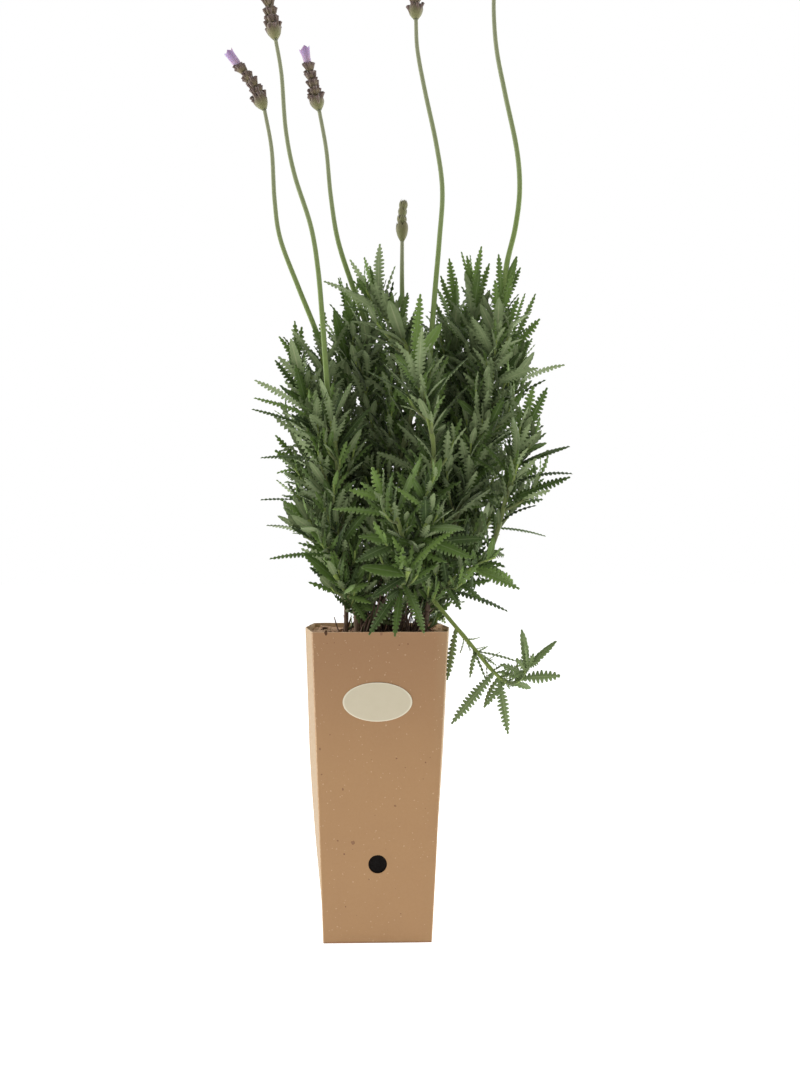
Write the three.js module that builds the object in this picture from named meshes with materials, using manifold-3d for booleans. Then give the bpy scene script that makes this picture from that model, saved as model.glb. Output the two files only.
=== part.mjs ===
// Toothed lavender growing in a tall folded kraft-card box, with six flower stalks.
// Millimetres, +Z up, the front of the box towards -Y, the origin under the middle of the box's base.
import * as THREE from "three";
import { mergeVertices } from "three/addons/utils/BufferGeometryUtils.js";
import Module from "manifold-3d";

const wasm = await Module();
wasm.setup();

// ---- driving dimensions ----------------------------------------------------------------------

const BOX_HEIGHT = 208;
const BOX_TOP = 90; // outside width and depth at the rim
const BOX_BASE = 72.5; // outside width and depth at the base
const BOX_LEAN = 1.6; // the rim's middle stands this far right of the base's
const BOX_SKEW = 1.4; // the rim's back panel is shifted this far left
const CREASE_LEFT = 6; // how far each side panel's middle crease stands out at the rim
const CREASE_RIGHT = 3.8;
const CARD = 0.8; // card thickness
const FLOOR = 1.6; // the base is two flaps thick
const VENT_RADIUS = 6.2;
const VENT_X = 0;
const VENT_HEIGHT = 53;

const LABEL_WIDTH = 46;
const LABEL_HEIGHT = 26;
const LABEL_THICKNESS = 0.3;
const LABEL_X = -0.2;
const LABEL_CENTRE = 161.5;
const LABEL_GAP = 0.1;

const SEAT = 0.3; // gap left where one piece sits in or on another
const CLEAR = 0.4; // least gap between leaves of different shoots
const SOIL_TOP = 203;

const STEM_SIDES = 4; // lavender stems are square
const BRACTS = 5; // in each cup of a flower spike
const LOWEST_CUP = 1.7; // the lowest cup is this many times as tall as the others
const PETAL_LENGTH = 12.5;
const SHOOT_RADIUS = [2, 1.5]; // from the woody stem to the tip, measured to a corner
const STALK_RADIUS = [2.1, 1.45];
const WOODY_STEP = 16; // length of one straight stretch of a stem
const SHOOT_STEP = 26;
const STALK_STEP = 18;

const LEAF_LENGTH = [33, 41, 44, 42, 38]; // from the pair at the tip downwards
const RIB_HEIGHT = 0.9; // the blade is this thick along its rib
const TOOTH_PITCH = 10; // larger than life, and larger still on the leaves that grow in pairs
const PAIR_TOOTH_PITCH = 12.5;
const NOTCH = 0.6; // how much of the half width is left between teeth
const PAIR_SPACING = 17;
const TIP_GAP = 2.5;

// ---- shapes ----------------------------------------------------------------------------------

const v3 = (p) => new THREE.Vector3(p[0], p[1], p[2]);
const radians = THREE.MathUtils.degToRad;

// A repeatable draw: a linear congruential sequence, each value from 0 to 1.
function draws(seed) {
  let state = seed;
  return () => {
    state = (state * 1664525 + 1013904223) % 4294967296;
    return state / 4294967296;
  };
}

function solid(geometry) {
  const bare = geometry.index ? geometry : geometry.clone();
  bare.deleteAttribute("normal");
  bare.deleteAttribute("uv");
  const merged = mergeVertices(bare, 1e-4);
  return new wasm.Manifold(
    new wasm.Mesh({
      numProp: 3,
      vertProperties: merged.attributes.position.array,
      triVerts: new Uint32Array(merged.index.array),
    }),
  );
}

function geometryOf(manifold) {
  const mesh = manifold.getMesh();
  const count = mesh.numVert;
  const position = new Float32Array(count * 3);
  for (let i = 0; i < count; i++)
    position.set(mesh.vertProperties.subarray(i * mesh.numProp, i * mesh.numProp + 3), i * 3);
  const geometry = new THREE.BufferGeometry();
  geometry.setAttribute("position", new THREE.BufferAttribute(position, 3));
  geometry.setIndex(new THREE.BufferAttribute(mesh.triVerts, 1));
  geometry.computeVertexNormals();
  return geometry;
}

// A faceted body from corner points and faces, each face a list of three corners.
function faceted(points, faces) {
  const geometry = new THREE.BufferGeometry();
  geometry.setAttribute(
    "position",
    new THREE.Float32BufferAttribute(points.flatMap((p) => [p.x, p.y, p.z]), 3),
  );
  geometry.setIndex(faces.flat());
  return solid(geometry);
}

// A stack of sections with the same number of corners, closed by a fan at each end.
function loft(sections) {
  const count = sections[0].length;
  const faces = [];
  for (let level = 0; level < sections.length - 1; level++)
    for (let i = 0; i < count; i++) {
      const a = level * count + i;
      const b = level * count + ((i + 1) % count);
      faces.push([a, b, b + count], [a, b + count, a + count]);
    }
  const last = (sections.length - 1) * count;
  for (let i = 1; i < count - 1; i++) {
    faces.push([0, i + 1, i]);
    faces.push([last, last + i, last + i + 1]);
  }
  return faceted(sections.flat(), faces);
}

const curveThrough = (points) =>
  new THREE.CatmullRomCurve3(points.map(v3), false, "catmullrom", 0.5);

// The stem's own axes at t: along it, sideways across the front view, and to the back.
function axesAt(curve, t) {
  const along = curve.getTangent(t);
  const side = new THREE.Vector3().crossVectors(along, new THREE.Vector3(0, 1, 0)).normalize();
  const back = new THREE.Vector3().crossVectors(side, along).negate().normalize();
  return { along, side, back };
}

// A tapered stem of square section along a curve. grow makes it that much larger all round.
function stem(curve, radii, steps, grow = 0, sides = STEM_SIDES) {
  const sections = [];
  for (let k = 0; k <= steps; k++) {
    const t = k / steps;
    const { along, side, back } = axesAt(curve, t);
    const radius = radii[0] + (radii[1] - radii[0]) * t + grow * Math.SQRT2;
    const reach = k === 0 ? -grow : k === steps ? grow : 0;
    const centre = curve.getPoint(t).addScaledVector(along, reach);
    sections.push(
      Array.from({ length: sides }, (_, i) => {
        const angle = (2 * Math.PI * (i + 0.5)) / sides;
        return centre
          .clone()
          .addScaledVector(side, radius * Math.cos(angle))
          .addScaledVector(back, radius * Math.sin(angle));
      }),
    );
  }
  return loft(sections);
}

// ---- the box, its soil and its label ---------------------------------------------------------

// The box's six-cornered section at a height: two flat panels, and a crease down each side.
// inset draws the section in from the card's outer face.
function boxSection(z, inset) {
  const t = z / BOX_HEIGHT;
  const half = (BOX_BASE + (BOX_TOP - BOX_BASE) * t) / 2 - inset;
  const bulge = Math.sin((Math.PI / 2) * Math.min(1, t / 0.62));
  const middle = BOX_LEAN * t;
  const skew = BOX_SKEW * t;
  return [
    [middle - half, -half],
    [middle + half, -half],
    [middle + half + CREASE_RIGHT * bulge, 0],
    [middle + half - skew, half],
    [middle - half - skew, half],
    [middle - half - CREASE_LEFT * bulge, 0],
  ].map(([x, y]) => new THREE.Vector3(x, y, z));
}

const frontFaceY = (z) => -(BOX_BASE + ((BOX_TOP - BOX_BASE) * z) / BOX_HEIGHT) / 2;

function cardBox() {
  const levels = [0, 26, 52, 78, 104, 130, BOX_HEIGHT];
  const inner = levels.map((z) => Math.max(z, FLOOR));
  const lift = (section) => section.map((p) => p.setZ(p.z > BOX_HEIGHT - 1 ? BOX_HEIGHT + 1 : p.z));
  const outside = loft(levels.map((z) => boxSection(z, 0)));
  const inside = loft(inner.map((z) => lift(boxSection(z, CARD))));
  const punch = new THREE.CylinderGeometry(VENT_RADIUS, VENT_RADIUS, 12, 20);
  punch.translate(VENT_X, frontFaceY(VENT_HEIGHT), VENT_HEIGHT);
  return outside.subtract(inside).subtract(solid(punch));
}

function soilHeight(x, y) {
  const hummocks = 0.9 * Math.sin(x / 7.1 + 0.6) * Math.cos(y / 6.3 - 0.4);
  const fine = 0.5 * Math.sin(x / 3.3 + y / 4.1);
  return SOIL_TOP + hummocks + fine;
}

// The root ball: a block drawn in to the card's inside, with a rough top and crumbs of bark.
function soil(stemsInSoil) {
  const cells = 6;
  const block = new THREE.BoxGeometry(2, 2, 1, cells, cells, 1);
  const position = block.attributes.position;
  const bottom = FLOOR + SEAT;
  for (let i = 0; i < position.count; i++) {
    const [u, v, w] = [position.getX(i), position.getY(i), position.getZ(i)];
    const z = w > 0 ? SOIL_TOP : bottom;
    const section = boxSection(z, CARD + SEAT);
    const half = section[1].y * -1;
    const middle = (section[0].x + section[1].x) / 2;
    const crease = u > 0 ? section[2].x - section[1].x : section[0].x - section[5].x;
    const back = v > 0 ? section[4].x - section[0].x : 0;
    const x = middle + u * (half + crease * (1 - Math.abs(v))) + back * v;
    const y = v * half;
    position.setXYZ(i, x, y, w > 0 ? soilHeight(x, y) : bottom);
  }
  let ball = solid(block);
  const next = draws(41);
  const reach = BOX_TOP / 2 - 8;
  for (let i = 0; i < 8; i++) {
    const crumb = new THREE.IcosahedronGeometry(1.7 + 2.2 * next(), 0);
    crumb.scale(1, 0.75, 0.55);
    crumb.rotateZ(Math.PI * next());
    const x = reach * (2 * next() - 1);
    const y = reach * (2 * next() - 1);
    crumb.translate(x, y, soilHeight(x, y) + 0.3);
    ball = ball.add(solid(crumb));
  }
  return stemsInSoil.reduce((left, hole) => left.subtract(hole), ball);
}

// An oval of paper on the front panel, which leans outwards towards the rim.
function label() {
  const oval = new THREE.Shape().absellipse(0, 0, LABEL_WIDTH / 2, LABEL_HEIGHT / 2, 0, 2 * Math.PI);
  const paper = new THREE.ExtrudeGeometry(oval, {
    depth: LABEL_THICKNESS,
    bevelEnabled: false,
    curveSegments: 14,
  });
  const lean = Math.atan2((BOX_TOP - BOX_BASE) / 2, BOX_HEIGHT);
  paper.rotateX(Math.PI / 2 + lean);
  paper.translate(LABEL_X, frontFaceY(LABEL_CENTRE) - LABEL_GAP, LABEL_CENTRE);
  return solid(paper);
}

// ---- leaves ----------------------------------------------------------------------------------

// How a leaf of a pair may be bent clear of its neighbours: turned about the stem, raised, and
// shortened.
const PAIR_BENDS = [
  [0, 0, 1],
  [17, 0, 1],
  [-17, 0, 1],
  [0, -9, 1],
  [0, 11, 1],
  [33, 4, 0.95],
  [-33, 4, 0.95],
  [14, 14, 0.82],
  [-14, -9, 0.82],
  [26, -8, 0.75],
  [-26, 8, 0.75],
  [0, 0, 0.62],
];

// The same for a leaf placed by its tip: the tip moves to the back or the front, and it shortens.
const TIP_BENDS = [
  [0, 1],
  [-5, 1],
  [6, 1],
  [-11, 1],
  [12, 1],
  [-17, 0.95],
  [18, 0.95],
  [0, 0.85],
  [-8, 0.8],
  [9, 0.8],
  [0, 0.68],
];

const PLAIN_WIDTH = 0.19; // of a leaf in a pair, as a share of its length

// Where a leaf of a pair grows and which way it points. Each pair is turned a quarter from the
// last. Leaves stand up at the tip, and spread and arch further down the stem.
function pairLeaf(shoot, pair, side, [turn, lift, shorter]) {
  const next = draws(7919 * shoot.seed + 131 * pair + 17 * side + 1);
  const length = LEAF_LENGTH[Math.min(pair, LEAF_LENGTH.length - 1)] * (0.9 + 0.22 * next());
  const around = radians(shoot.turn + 90 * pair + 180 * side + 24 * (next() - 0.5) + turn);
  const pitch = radians(15 + 10 * pair + 14 * (next() - 0.5) + lift + shoot.spread);
  const bend = radians(Math.min(46, 8 + 11 * pair) + 18 * (next() - 0.5));
  const roll = radians(70 * (next() - 0.5));
  const t = 1 - (TIP_GAP + PAIR_SPACING * pair) / shoot.length;
  const { along, side: across, back } = axesAt(shoot.curve, t);
  const outwards = across
    .clone()
    .multiplyScalar(Math.cos(around))
    .addScaledVector(back, Math.sin(around));
  const ahead = along
    .clone()
    .multiplyScalar(Math.cos(pitch))
    .addScaledVector(outwards, Math.sin(pitch));
  const up = along.clone().addScaledVector(ahead, -along.dot(ahead)).normalize();
  const wide = new THREE.Vector3().crossVectors(up, ahead);
  const upper = up.clone().multiplyScalar(Math.cos(roll)).addScaledVector(wide, Math.sin(roll));
  return {
    root: shoot.curve.getPoint(t),
    ahead,
    up: upper,
    wide: new THREE.Vector3().crossVectors(upper, ahead),
    length: length * shorter,
    width: length * PLAIN_WIDTH,
    bend,
    toothPitch: PAIR_TOOTH_PITCH,
  };
}

// A leaf placed by its tip. facing turns its upper side from the front upwards.
function tipLeaf(shoot, [t, tip, width, facing, bendDegrees], [shift, shorter]) {
  const root = shoot.curve.getPoint(t);
  const chord = v3(tip).add(new THREE.Vector3(0, shift, 0)).sub(root).multiplyScalar(shorter);
  const bend = radians(bendDegrees);
  const straight = chord.clone().normalize();
  const front = new THREE.Vector3(0, -1, 0).addScaledVector(straight, straight.y).normalize();
  const top = new THREE.Vector3().crossVectors(straight, front);
  if (top.z < 0) top.negate();
  const face = front
    .multiplyScalar(Math.cos(radians(facing)))
    .addScaledVector(top, Math.sin(radians(facing)));
  const ahead = straight
    .clone()
    .multiplyScalar(Math.cos(bend / 2))
    .addScaledVector(face, Math.sin(bend / 2));
  const up = face.multiplyScalar(Math.cos(bend / 2)).addScaledVector(straight, -Math.sin(bend / 2));
  return {
    root,
    ahead,
    up,
    wide: new THREE.Vector3().crossVectors(up, ahead),
    length: (chord.length() * (bend / 2)) / Math.sin(bend / 2),
    width,
    bend,
    toothPitch: TOOTH_PITCH,
  };
}

// A point on the blade: share of the length s, distance across, height above the blade.
// The rib is an arc that bends down by leaf.bend over its length.
function onBlade(leaf, s, across, lift) {
  const angle = leaf.bend * s;
  const reach = (leaf.length * Math.sin(angle)) / leaf.bend;
  const drop = (leaf.length * (1 - Math.cos(angle))) / leaf.bend;
  return leaf.root
    .clone()
    .addScaledVector(leaf.ahead, reach + lift * Math.sin(angle))
    .addScaledVector(leaf.up, lift * Math.cos(angle) - drop)
    .addScaledVector(leaf.wide, across);
}

const halfWidth = (leaf, s) =>
  (leaf.width / 2) * (0.16 * (1 - s) + Math.pow(Math.sin(Math.PI * Math.pow(s, 1.12)), 0.6));

// A thin toothed blade: a raised rib, an edge that runs from tooth to notch, a flat underside.
function blade(leaf) {
  const teeth = Math.max(3, Math.round(leaf.length / leaf.toothPitch));
  const last = 2 * teeth;
  const points = [];
  const rib = [];
  const left = [];
  const right = [];
  for (let k = 0; k < last; k++) {
    const tooth = k % 2;
    const s = (k + 0.5 * tooth) / last;
    const half = Math.max(0.7, halfWidth(leaf, s) * (tooth ? 1 : NOTCH));
    const droop = -0.12 * half;
    if (!tooth) rib.push(points.push(onBlade(leaf, s, 0, RIB_HEIGHT)) - 1);
    left.push(points.push(onBlade(leaf, s, half, droop)) - 1);
    right.push(points.push(onBlade(leaf, s, -half, droop)) - 1);
  }
  const tip = points.push(onBlade(leaf, 1, 0, 0)) - 1;
  rib.push(tip);
  left.push(tip);
  right.push(tip);
  const faces = [[rib[0], left[0], right[0]]];
  for (let j = 0; j < teeth; j++) {
    const k = 2 * j;
    faces.push([rib[j], left[k + 1], left[k]], [rib[j], rib[j + 1], left[k + 1]]);
    faces.push([rib[j], right[k], right[k + 1]], [rib[j], right[k + 1], rib[j + 1]]);
    if (j < teeth - 1) {
      faces.push([rib[j + 1], left[k + 2], left[k + 1]]);
      faces.push([rib[j + 1], right[k + 1], right[k + 2]]);
    }
  }
  for (let k = 0; k < last - 1; k++)
    faces.push([left[k], left[k + 1], right[k + 1]], [left[k], right[k + 1], right[k]]);
  faces.push([left[last - 1], tip, right[last - 1]]);
  return faceted(points, faces);
}

// ---- flower spikes ---------------------------------------------------------------------------

// A ring of corners round a stem at t. Every other corner belongs to a bract, the rest to the
// gaps between bracts; each kind has its own radius and its own height along the stem.
function starSection(curve, t, bract, gap, parity) {
  const { along, side, back } = axesAt(curve, t);
  const centre = curve.getPoint(t);
  return Array.from({ length: 2 * BRACTS }, (_, i) => {
    const { radius, height } = (i + parity) % 2 ? bract : gap;
    const angle = (Math.PI * i) / BRACTS + 0.35;
    return centre
      .clone()
      .addScaledVector(side, radius * Math.cos(angle))
      .addScaledVector(back, radius * Math.sin(angle))
      .addScaledVector(along, height);
  });
}

// Cups of pointed bracts, one above the other, with a slim core between them. The lowest cup is
// the broadest and tallest. The bracts of each cup stand over the gaps of the one below.
function spikeSolid(spike) {
  const curve = curveThrough(spike.path);
  const rise = (curve.getLength() - SEAT) / (spike.rings - 1 + LOWEST_CUP + 0.2);
  const core = spike.width * 0.17;
  const sections = [];
  for (let ring = 0; ring < spike.rings; ring++) {
    const start = ring === 0 ? SEAT : SEAT + rise * (ring - 1 + LOWEST_CUP);
    const tall = ring === 0 ? rise * LOWEST_CUP : rise;
    const t = start / curve.getLength();
    const share = ring / (spike.rings - 1);
    const reach = (spike.width / 2) * (ring === 0 ? 1 : spike.taper * (1 - 0.2 * share));
    const neck = { radius: core, height: 0 };
    const hip = { radius: reach * 0.85, height: tall * 0.5 };
    const tip = { radius: reach, height: tall * 1.15 };
    const parity = ring % 2;
    sections.push(starSection(curve, t, neck, neck, parity));
    sections.push(starSection(curve, t, hip, { radius: reach * 0.62, height: tall * 0.42 }, parity));
    sections.push(starSection(curve, t, tip, { radius: reach * 0.52, height: tall * 0.78 }, parity));
  }
  const end = { radius: core, height: 0 };
  sections.push(starSection(curve, 1, end, end, 0));
  return loft(sections);
}

// The lilac tuft at the top of a spike: soft pointed petals flaring from one small core.
function tuftSolid(spike) {
  const curve = curveThrough(spike.path);
  const foot = { radius: 1.3, height: SEAT };
  const belly = { radius: 3, height: PETAL_LENGTH * 0.45 };
  const valley = { radius: 2, height: PETAL_LENGTH * 0.4 };
  const tip = { radius: 3.8, height: PETAL_LENGTH };
  const notch = { radius: 2.5, height: PETAL_LENGTH * 0.62 };
  const throat = { radius: 1, height: PETAL_LENGTH * 0.55 };
  const parity = spike.rings % 2;
  return loft([
    starSection(curve, 1, foot, foot, parity),
    starSection(curve, 1, belly, valley, parity),
    starSection(curve, 1, tip, notch, parity),
    starSection(curve, 1, throat, throat, parity),
  ]);
}

// ---- the plant: where each piece grows -------------------------------------------------------

// Woody stems, from below the soil upwards: route and radius at each end.
const WOODY = {
  woody_stem_1: {
    radii: [1.7, 1.3],
    route: [[-21, -1, 187], [-21, -2, 219], [-19, -1, 241], [-17, 3, 265], [-17, 9, 282]],
  },
  woody_stem_2: {
    radii: [2.6, 1.7],
    route: [[-13, -9, 186], [-14, -10, 219], [-17, -9, 234], [-22, -11, 263], [-25, -7, 296]],
  },
  woody_stem_3: {
    radii: [2.5, 1.5],
    route: [[2, 5, 186], [3, 8, 226], [5, 10, 254], [5, 14, 282], [5, 14, 311]],
  },
  woody_stem_4: {
    radii: [2.3, 1.6],
    route: [[13, -12, 187], [14, -16, 228], [13, -20, 255], [14, -22, 275]],
  },
  woody_stem_5: {
    radii: [2.4, 1.6],
    route: [[23, 1, 186], [30, 1, 218], [38, -1, 234], [47, -2, 255], [52, -2, 275]],
  },
  woody_stem_6: {
    radii: [2.3, 1.5],
    route: [[30, 17, 186], [38, 21, 226], [46, 24, 254], [50, 26, 283], [51, 26, 297]],
  },
  woody_stem_7: {
    radii: [1.9, 1.6],
    route: [[32, -15, 187], [34, -17, 219], [36, -19, 230]],
  },
};

// Leafy shoots: the route from the woody stem to the tip. pairs are the leaf pairs that follow the
// rule, counted from the tip down, from the first number up to the second. turn is how far the
// first pair is turned about the stem (0 is across the front view), spread is extra pitch. leaves
// are placed one by one: where on the stem, where the tip is, the width, how far the upper side
// is turned away from the front, and how far the blade bends along its length.
const SHOOTS = {
  leafy_shoot_01: {
    route: [[51, 26, 297], [61, 22, 340], [67, 12, 385], [68, 6, 438]],
    turn: 20, spread: 0, pairs: [2, 4],
    leaves: [
      [0.99, [59, 4, 470], 5, 55, 10],
      [0.99, [66, 14, 470], 4, 60, 8],
      [0.99, [73, 0, 473], 6, 35, 10],
      [0.93, [71, -7, 455], 7.5, 5, 22],
    ],
  },
  leafy_shoot_02: {
    route: [[52, -2, 275], [66, -8, 317], [78, -7, 372], [87, -5, 431]],
    turn: 60, spread: 4, pairs: [2, 4],
    leaves: [
      [0.99, [78, -13, 459], 6.5, 20, 12],
      [0.99, [85, -1, 468], 5, 30, 8],
      [0.99, [100, -4, 467], 4.5, 70, 12],
      [0.98, [100, -14, 458], 6.5, 30, 12],
      [0.4, [86, -23, 366], 9, 5, 18],
    ],
  },
  leafy_shoot_03: {
    route: [[50, 26, 281], [75, 27, 318], [93, 23, 368], [96, 19, 403]],
    turn: 0, spread: 6, pairs: [2, 4],
    leaves: [
      [0.99, [107, 25, 445], 6, 55, 26],
      [0.99, [113, 15, 443], 6, 40, 10],
      [0.99, [115, 8, 424], 7.5, 35, 12],
      [0.89, [109, 22, 411], 8, 30, 14],
      [0.66, [95, 5, 394], 9, 5, 14],
    ],
  },
  leafy_shoot_04: {
    route: [[48, -2, 257], [74, -19, 258], [87, -25, 296], [94, -27, 326], [99, -27, 346]],
    turn: 75, spread: 8, pairs: [2, 4],
    leaves: [
      [0.99, [105, -31, 372], 7.5, 25, 10],
      [0.8, [114, -34, 371], 8, 20, 10],
      [0.67, [131, -24, 332], 6, 60, 18],
      [0.49, [130, -32, 311], 8, 35, 14],
      [0.35, [88, -31, 267], 5, 60, 60],
      [0.33, [66, -31, 279], 8, 20, 14],
    ],
  },
  leafy_shoot_05: {
    route: [[44, -1, 244], [66, 8, 257], [81, 11, 286], [91, 11, 306]],
    turn: 10, spread: 22, pairs: [1, 3],
    leaves: [
      [0.98, [113, 4, 319], 8, 20, 14],
    ],
  },
  leafy_shoot_06: {
    route: [[48, 25, 268], [51, 40, 326], [54, 36, 384], [58, 30, 426]],
    turn: 35, spread: 0, pairs: [1, 4],
    leaves: [
      [0.99, [52, 22, 469], 7.5, 10, 12],
    ],
  },
  leafy_shoot_07: {
    route: [[40, -1, 236], [37, -7, 296], [36, -7, 362]],
    turn: 90, spread: 4, pairs: [0, 4],
  },
  leafy_shoot_08: {
    route: [[14, -22, 275], [31, -37, 295], [37, -41, 328], [31, -41, 358], [24, -37, 385]],
    turn: 15, spread: 2, pairs: [1, 3],
    leaves: [
      [0.99, [28, -47, 431], 7.5, 5, 12],
      [0.99, [43, -32, 414], 8, 20, 14],
    ],
  },
  leafy_shoot_09: {
    route: [[5, 14, 311], [13, 16, 353], [19, 11, 413]],
    turn: 0, spread: -4, pairs: [1, 3],
    leaves: [
      [0.99, [12, 7, 441], 3.4, 10, 6],
      [0.99, [23, 7, 441], 3.4, 10, 6],
    ],
  },
  leafy_shoot_10: {
    route: [[5, 14, 282], [16, 3, 324], [26, -7, 368], [21, -11, 399], [5, -8, 423], [1, -8, 431]],
    turn: 60, spread: 0, pairs: [0, 3],
    leaves: [
      [0.99, [-5, -10, 457], 5, 70, 14],
    ],
  },
  leafy_shoot_11: {
    route: [[5, 10, 258], [-9, 24, 332], [-7, 16, 381], [-5, 10, 414]],
    turn: 110, spread: 0, pairs: [1, 3],
    leaves: [
      [0.99, [-13, 8, 450], 4.5, 60, 10],
      [0.99, [-10, 18, 452], 4.5, 60, 10],
      [0.99, [3, 4, 450], 7.5, 15, 16],
    ],
  },
  leafy_shoot_12: {
    route: [[-17, 9, 282], [-22, 17, 346], [-19, 23, 389], [-18, 25, 421]],
    turn: 30, spread: 0, pairs: [3, 4],
    leaves: [
      [0.99, [-26, 21, 455], 5, 65, 12],
      [0.97, [-21, 15, 445], 6.5, 15, 16],
      [0.68, [-30, 8, 429], 7.5, 10, 10],
      [0.81, [-24, 18, 430], 4.5, 70, 8],
      [0.53, [-31, 3, 394], 7.5, 5, 26],
    ],
  },
  leafy_shoot_13: {
    route: [[-25, -7, 296], [-28, -21, 329], [-33, -25, 362]],
    turn: 25, spread: 6, pairs: [0, 3],
  },
  leafy_shoot_14: {
    route: [[-17, 3, 265], [-31, 9, 331], [-39, 7, 405]],
    turn: 100, spread: 4, pairs: [0, 3],
  },
  leafy_shoot_15: {
    route: [[-23, -10, 272], [-42, 2, 334], [-55, 6, 390]],
    turn: 0, spread: 2, pairs: [1, 3],
    leaves: [
      [0.99, [-57, 4, 421], 5.5, 20, 12],
      [0.83, [-65, -1, 409], 6, 60, 60],
      [0.77, [-71, 7, 394], 6.5, 40, 16],
      [0.71, [-56, -9, 389], 7.5, 10, 22],
      [0.75, [-62, -3, 372], 6, 50, 20],
    ],
  },
  leafy_shoot_16: {
    route: [[-21, -11, 255], [-35, -17, 309], [-44, -12, 353]],
    turn: 0, spread: 24, pairs: [1, 3],
    leaves: [
      [0.99, [-84, -15, 365], 7, 50, 22],
      [0.88, [-86, -8, 358], 5.5, 65, 18],
      [0.9, [-58, -21, 353], 7, 30, 18],
      [0.81, [-61, -10, 345], 4, 40, 10],
    ],
  },
  leafy_shoot_17: {
    route: [[-18, -1, 248], [-36, 13, 289], [-52, 18, 318]],
    turn: 20, spread: 20, pairs: [1, 3],
    leaves: [
      [0.99, [-71, 13, 342], 6.5, 50, 16],
      [0.99, [-71, 7, 331], 7.5, 20, 14],
      [0.98, [-70, 12, 315], 5.5, 70, 44],
    ],
  },
  leafy_shoot_18: {
    route: [[-18, -9, 241], [-33, -25, 265], [-47, -30, 282]],
    turn: 0, spread: 16, pairs: [1, 3],
    leaves: [
      [0.99, [-65, -35, 296], 7, 45, 20],
      [0.73, [-51, -22, 286], 6, 30, 14],
      [0.69, [-56, -31, 275], 5, 40, 26],
    ],
  },
  leafy_shoot_19: {
    route: [[-15, -10, 224], [-22, -23, 235], [-29, -33, 246]],
    turn: 10, spread: 22, pairs: [1, 2],
    leaves: [
      [0.99, [-41, -30, 266], 4.5, 60, 20],
      [0.54, [-50, -31, 260], 8, 35, 14],
    ],
  },
  leafy_shoot_20: {
    route: [[13, -21, 263], [17, -43, 265], [12, -53, 283], [3, -57, 295]],
    turn: 70, spread: 20, pairs: [1, 3],
    leaves: [
      [0.99, [-4, -63, 316], 7, 5, 16],
      [0.99, [-19, -66, 301], 7, 25, 30],
      [0.02, [-22, -35, 261], 7.5, 30, 16],
    ],
  },
  leafy_shoot_21: {
    route: [[13, -19, 248], [28, -47, 269], [33, -59, 287]],
    turn: 40, spread: 24, pairs: [1, 3],
    leaves: [
      [0.99, [10, -66, 303], 5.5, 50, 20],
      [0.75, [30, -68, 297], 9, 5, 22],
      [0.52, [61, -61, 257], 9, 15, 24],
    ],
  },
  leafy_shoot_22: {
    route: [[14, -17, 233], [17, -39, 239], [20, -55, 249]],
    turn: 35, spread: 34, pairs: [1, 3],
    leaves: [
      [0.99, [9, -62, 271], 5.5, 40, 14],
      [0.99, [53, -62, 277], 6.5, 55, 40],
      [0.85, [-11, -55, 251], 9, 25, 18],
      [0.79, [-4, -58, 231], 7.5, 35, 18],
      [0.36, [-6, -47, 206], 7.5, 20, 24],
      [0.36, [11, -45, 205], 6, 15, 20],
    ],
  },
  leafy_shoot_23: {
    route: [[34, 0, 225], [49, -24, 240], [64, -36, 250]],
    turn: 20, spread: 20, pairs: [2, 3],
    leaves: [
      [0.99, [94, -45, 236], 9, 25, 24],
      [0.99, [91, -33, 241], 8, 15, 60],
      [0.6, [70, -34, 228], 7, 35, 20],
      [0.42, [57, -19, 221], 6, 25, 16],
    ],
  },
  leafy_shoot_24: {
    route: [
      [36, -19, 230], [42, -25, 223], [63, -29, 198], [78, -34, 180], [88, -35, 173],
      [95, -35, 175], [101, -37, 184],
    ],
    turn: 0, spread: 20, pairs: [9, 9],
    leaves: [
      [0.15, [56, -23, 219], 4.5, 40, 14],
      [0.24, [47, -31, 175], 5, 25, 20],
      [0.25, [63, -23, 193], 3.5, 70, 40],
      [0.33, [73, -35, 173], 4.5, 60, 12],
      [0.37, [81, -23, 183], 4.5, 60, 12],
      [0.37, [95, -27, 186], 4, 75, 16],
      [0.5, [49, -39, 146], 7.5, 15, 14],
      [0.54, [87, -39, 139], 8, 15, 10],
      [0.55, [72, -28, 155], 5, 40, 50],
      [0.86, [122, -40, 178], 8, 20, 12],
      [0.91, [81, -43, 186], 7, 30, 26],
      [0.99, [120, -36, 201], 6, 40, 14],
      [0.98, [96, -39, 209], 5.5, 25, 12],
      [0.98, [97, -45, 200], 4, 60, 10],
    ],
  },
  leafy_shoot_25: {
    route: [[-19, -1, 234], [-33, 39, 297], [-39, 47, 367]],
    turn: 45, spread: 6, pairs: [0, 3],
  },
  leafy_shoot_26: {
    route: [[3, 8, 226], [-1, 52, 312], [3, 58, 390]],
    turn: 80, spread: 4, pairs: [0, 3],
  },
  leafy_shoot_27: {
    route: [[39, 21, 226], [40, 57, 312], [43, 57, 397]],
    turn: 30, spread: 4, pairs: [0, 3],
  },
  leafy_shoot_28: {
    route: [[44, 24, 247], [69, 50, 297], [88, 55, 349]],
    turn: 10, spread: 12, pairs: [0, 3],
  },
  leafy_shoot_29: {
    route: [[-21, -2, 223], [-37, 33, 261], [-49, 48, 294]],
    turn: 30, spread: 18, pairs: [0, 3],
  },
  leafy_shoot_30: {
    route: [[4, 9, 240], [18, 47, 275], [28, 67, 305]],
    turn: 20, spread: 18, pairs: [0, 3],
  },
  leafy_shoot_31: {
    route: [[36, 20, 213], [36, 47, 232], [42, 63, 249]],
    turn: 60, spread: 24, pairs: [0, 3],
  },
};

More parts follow.
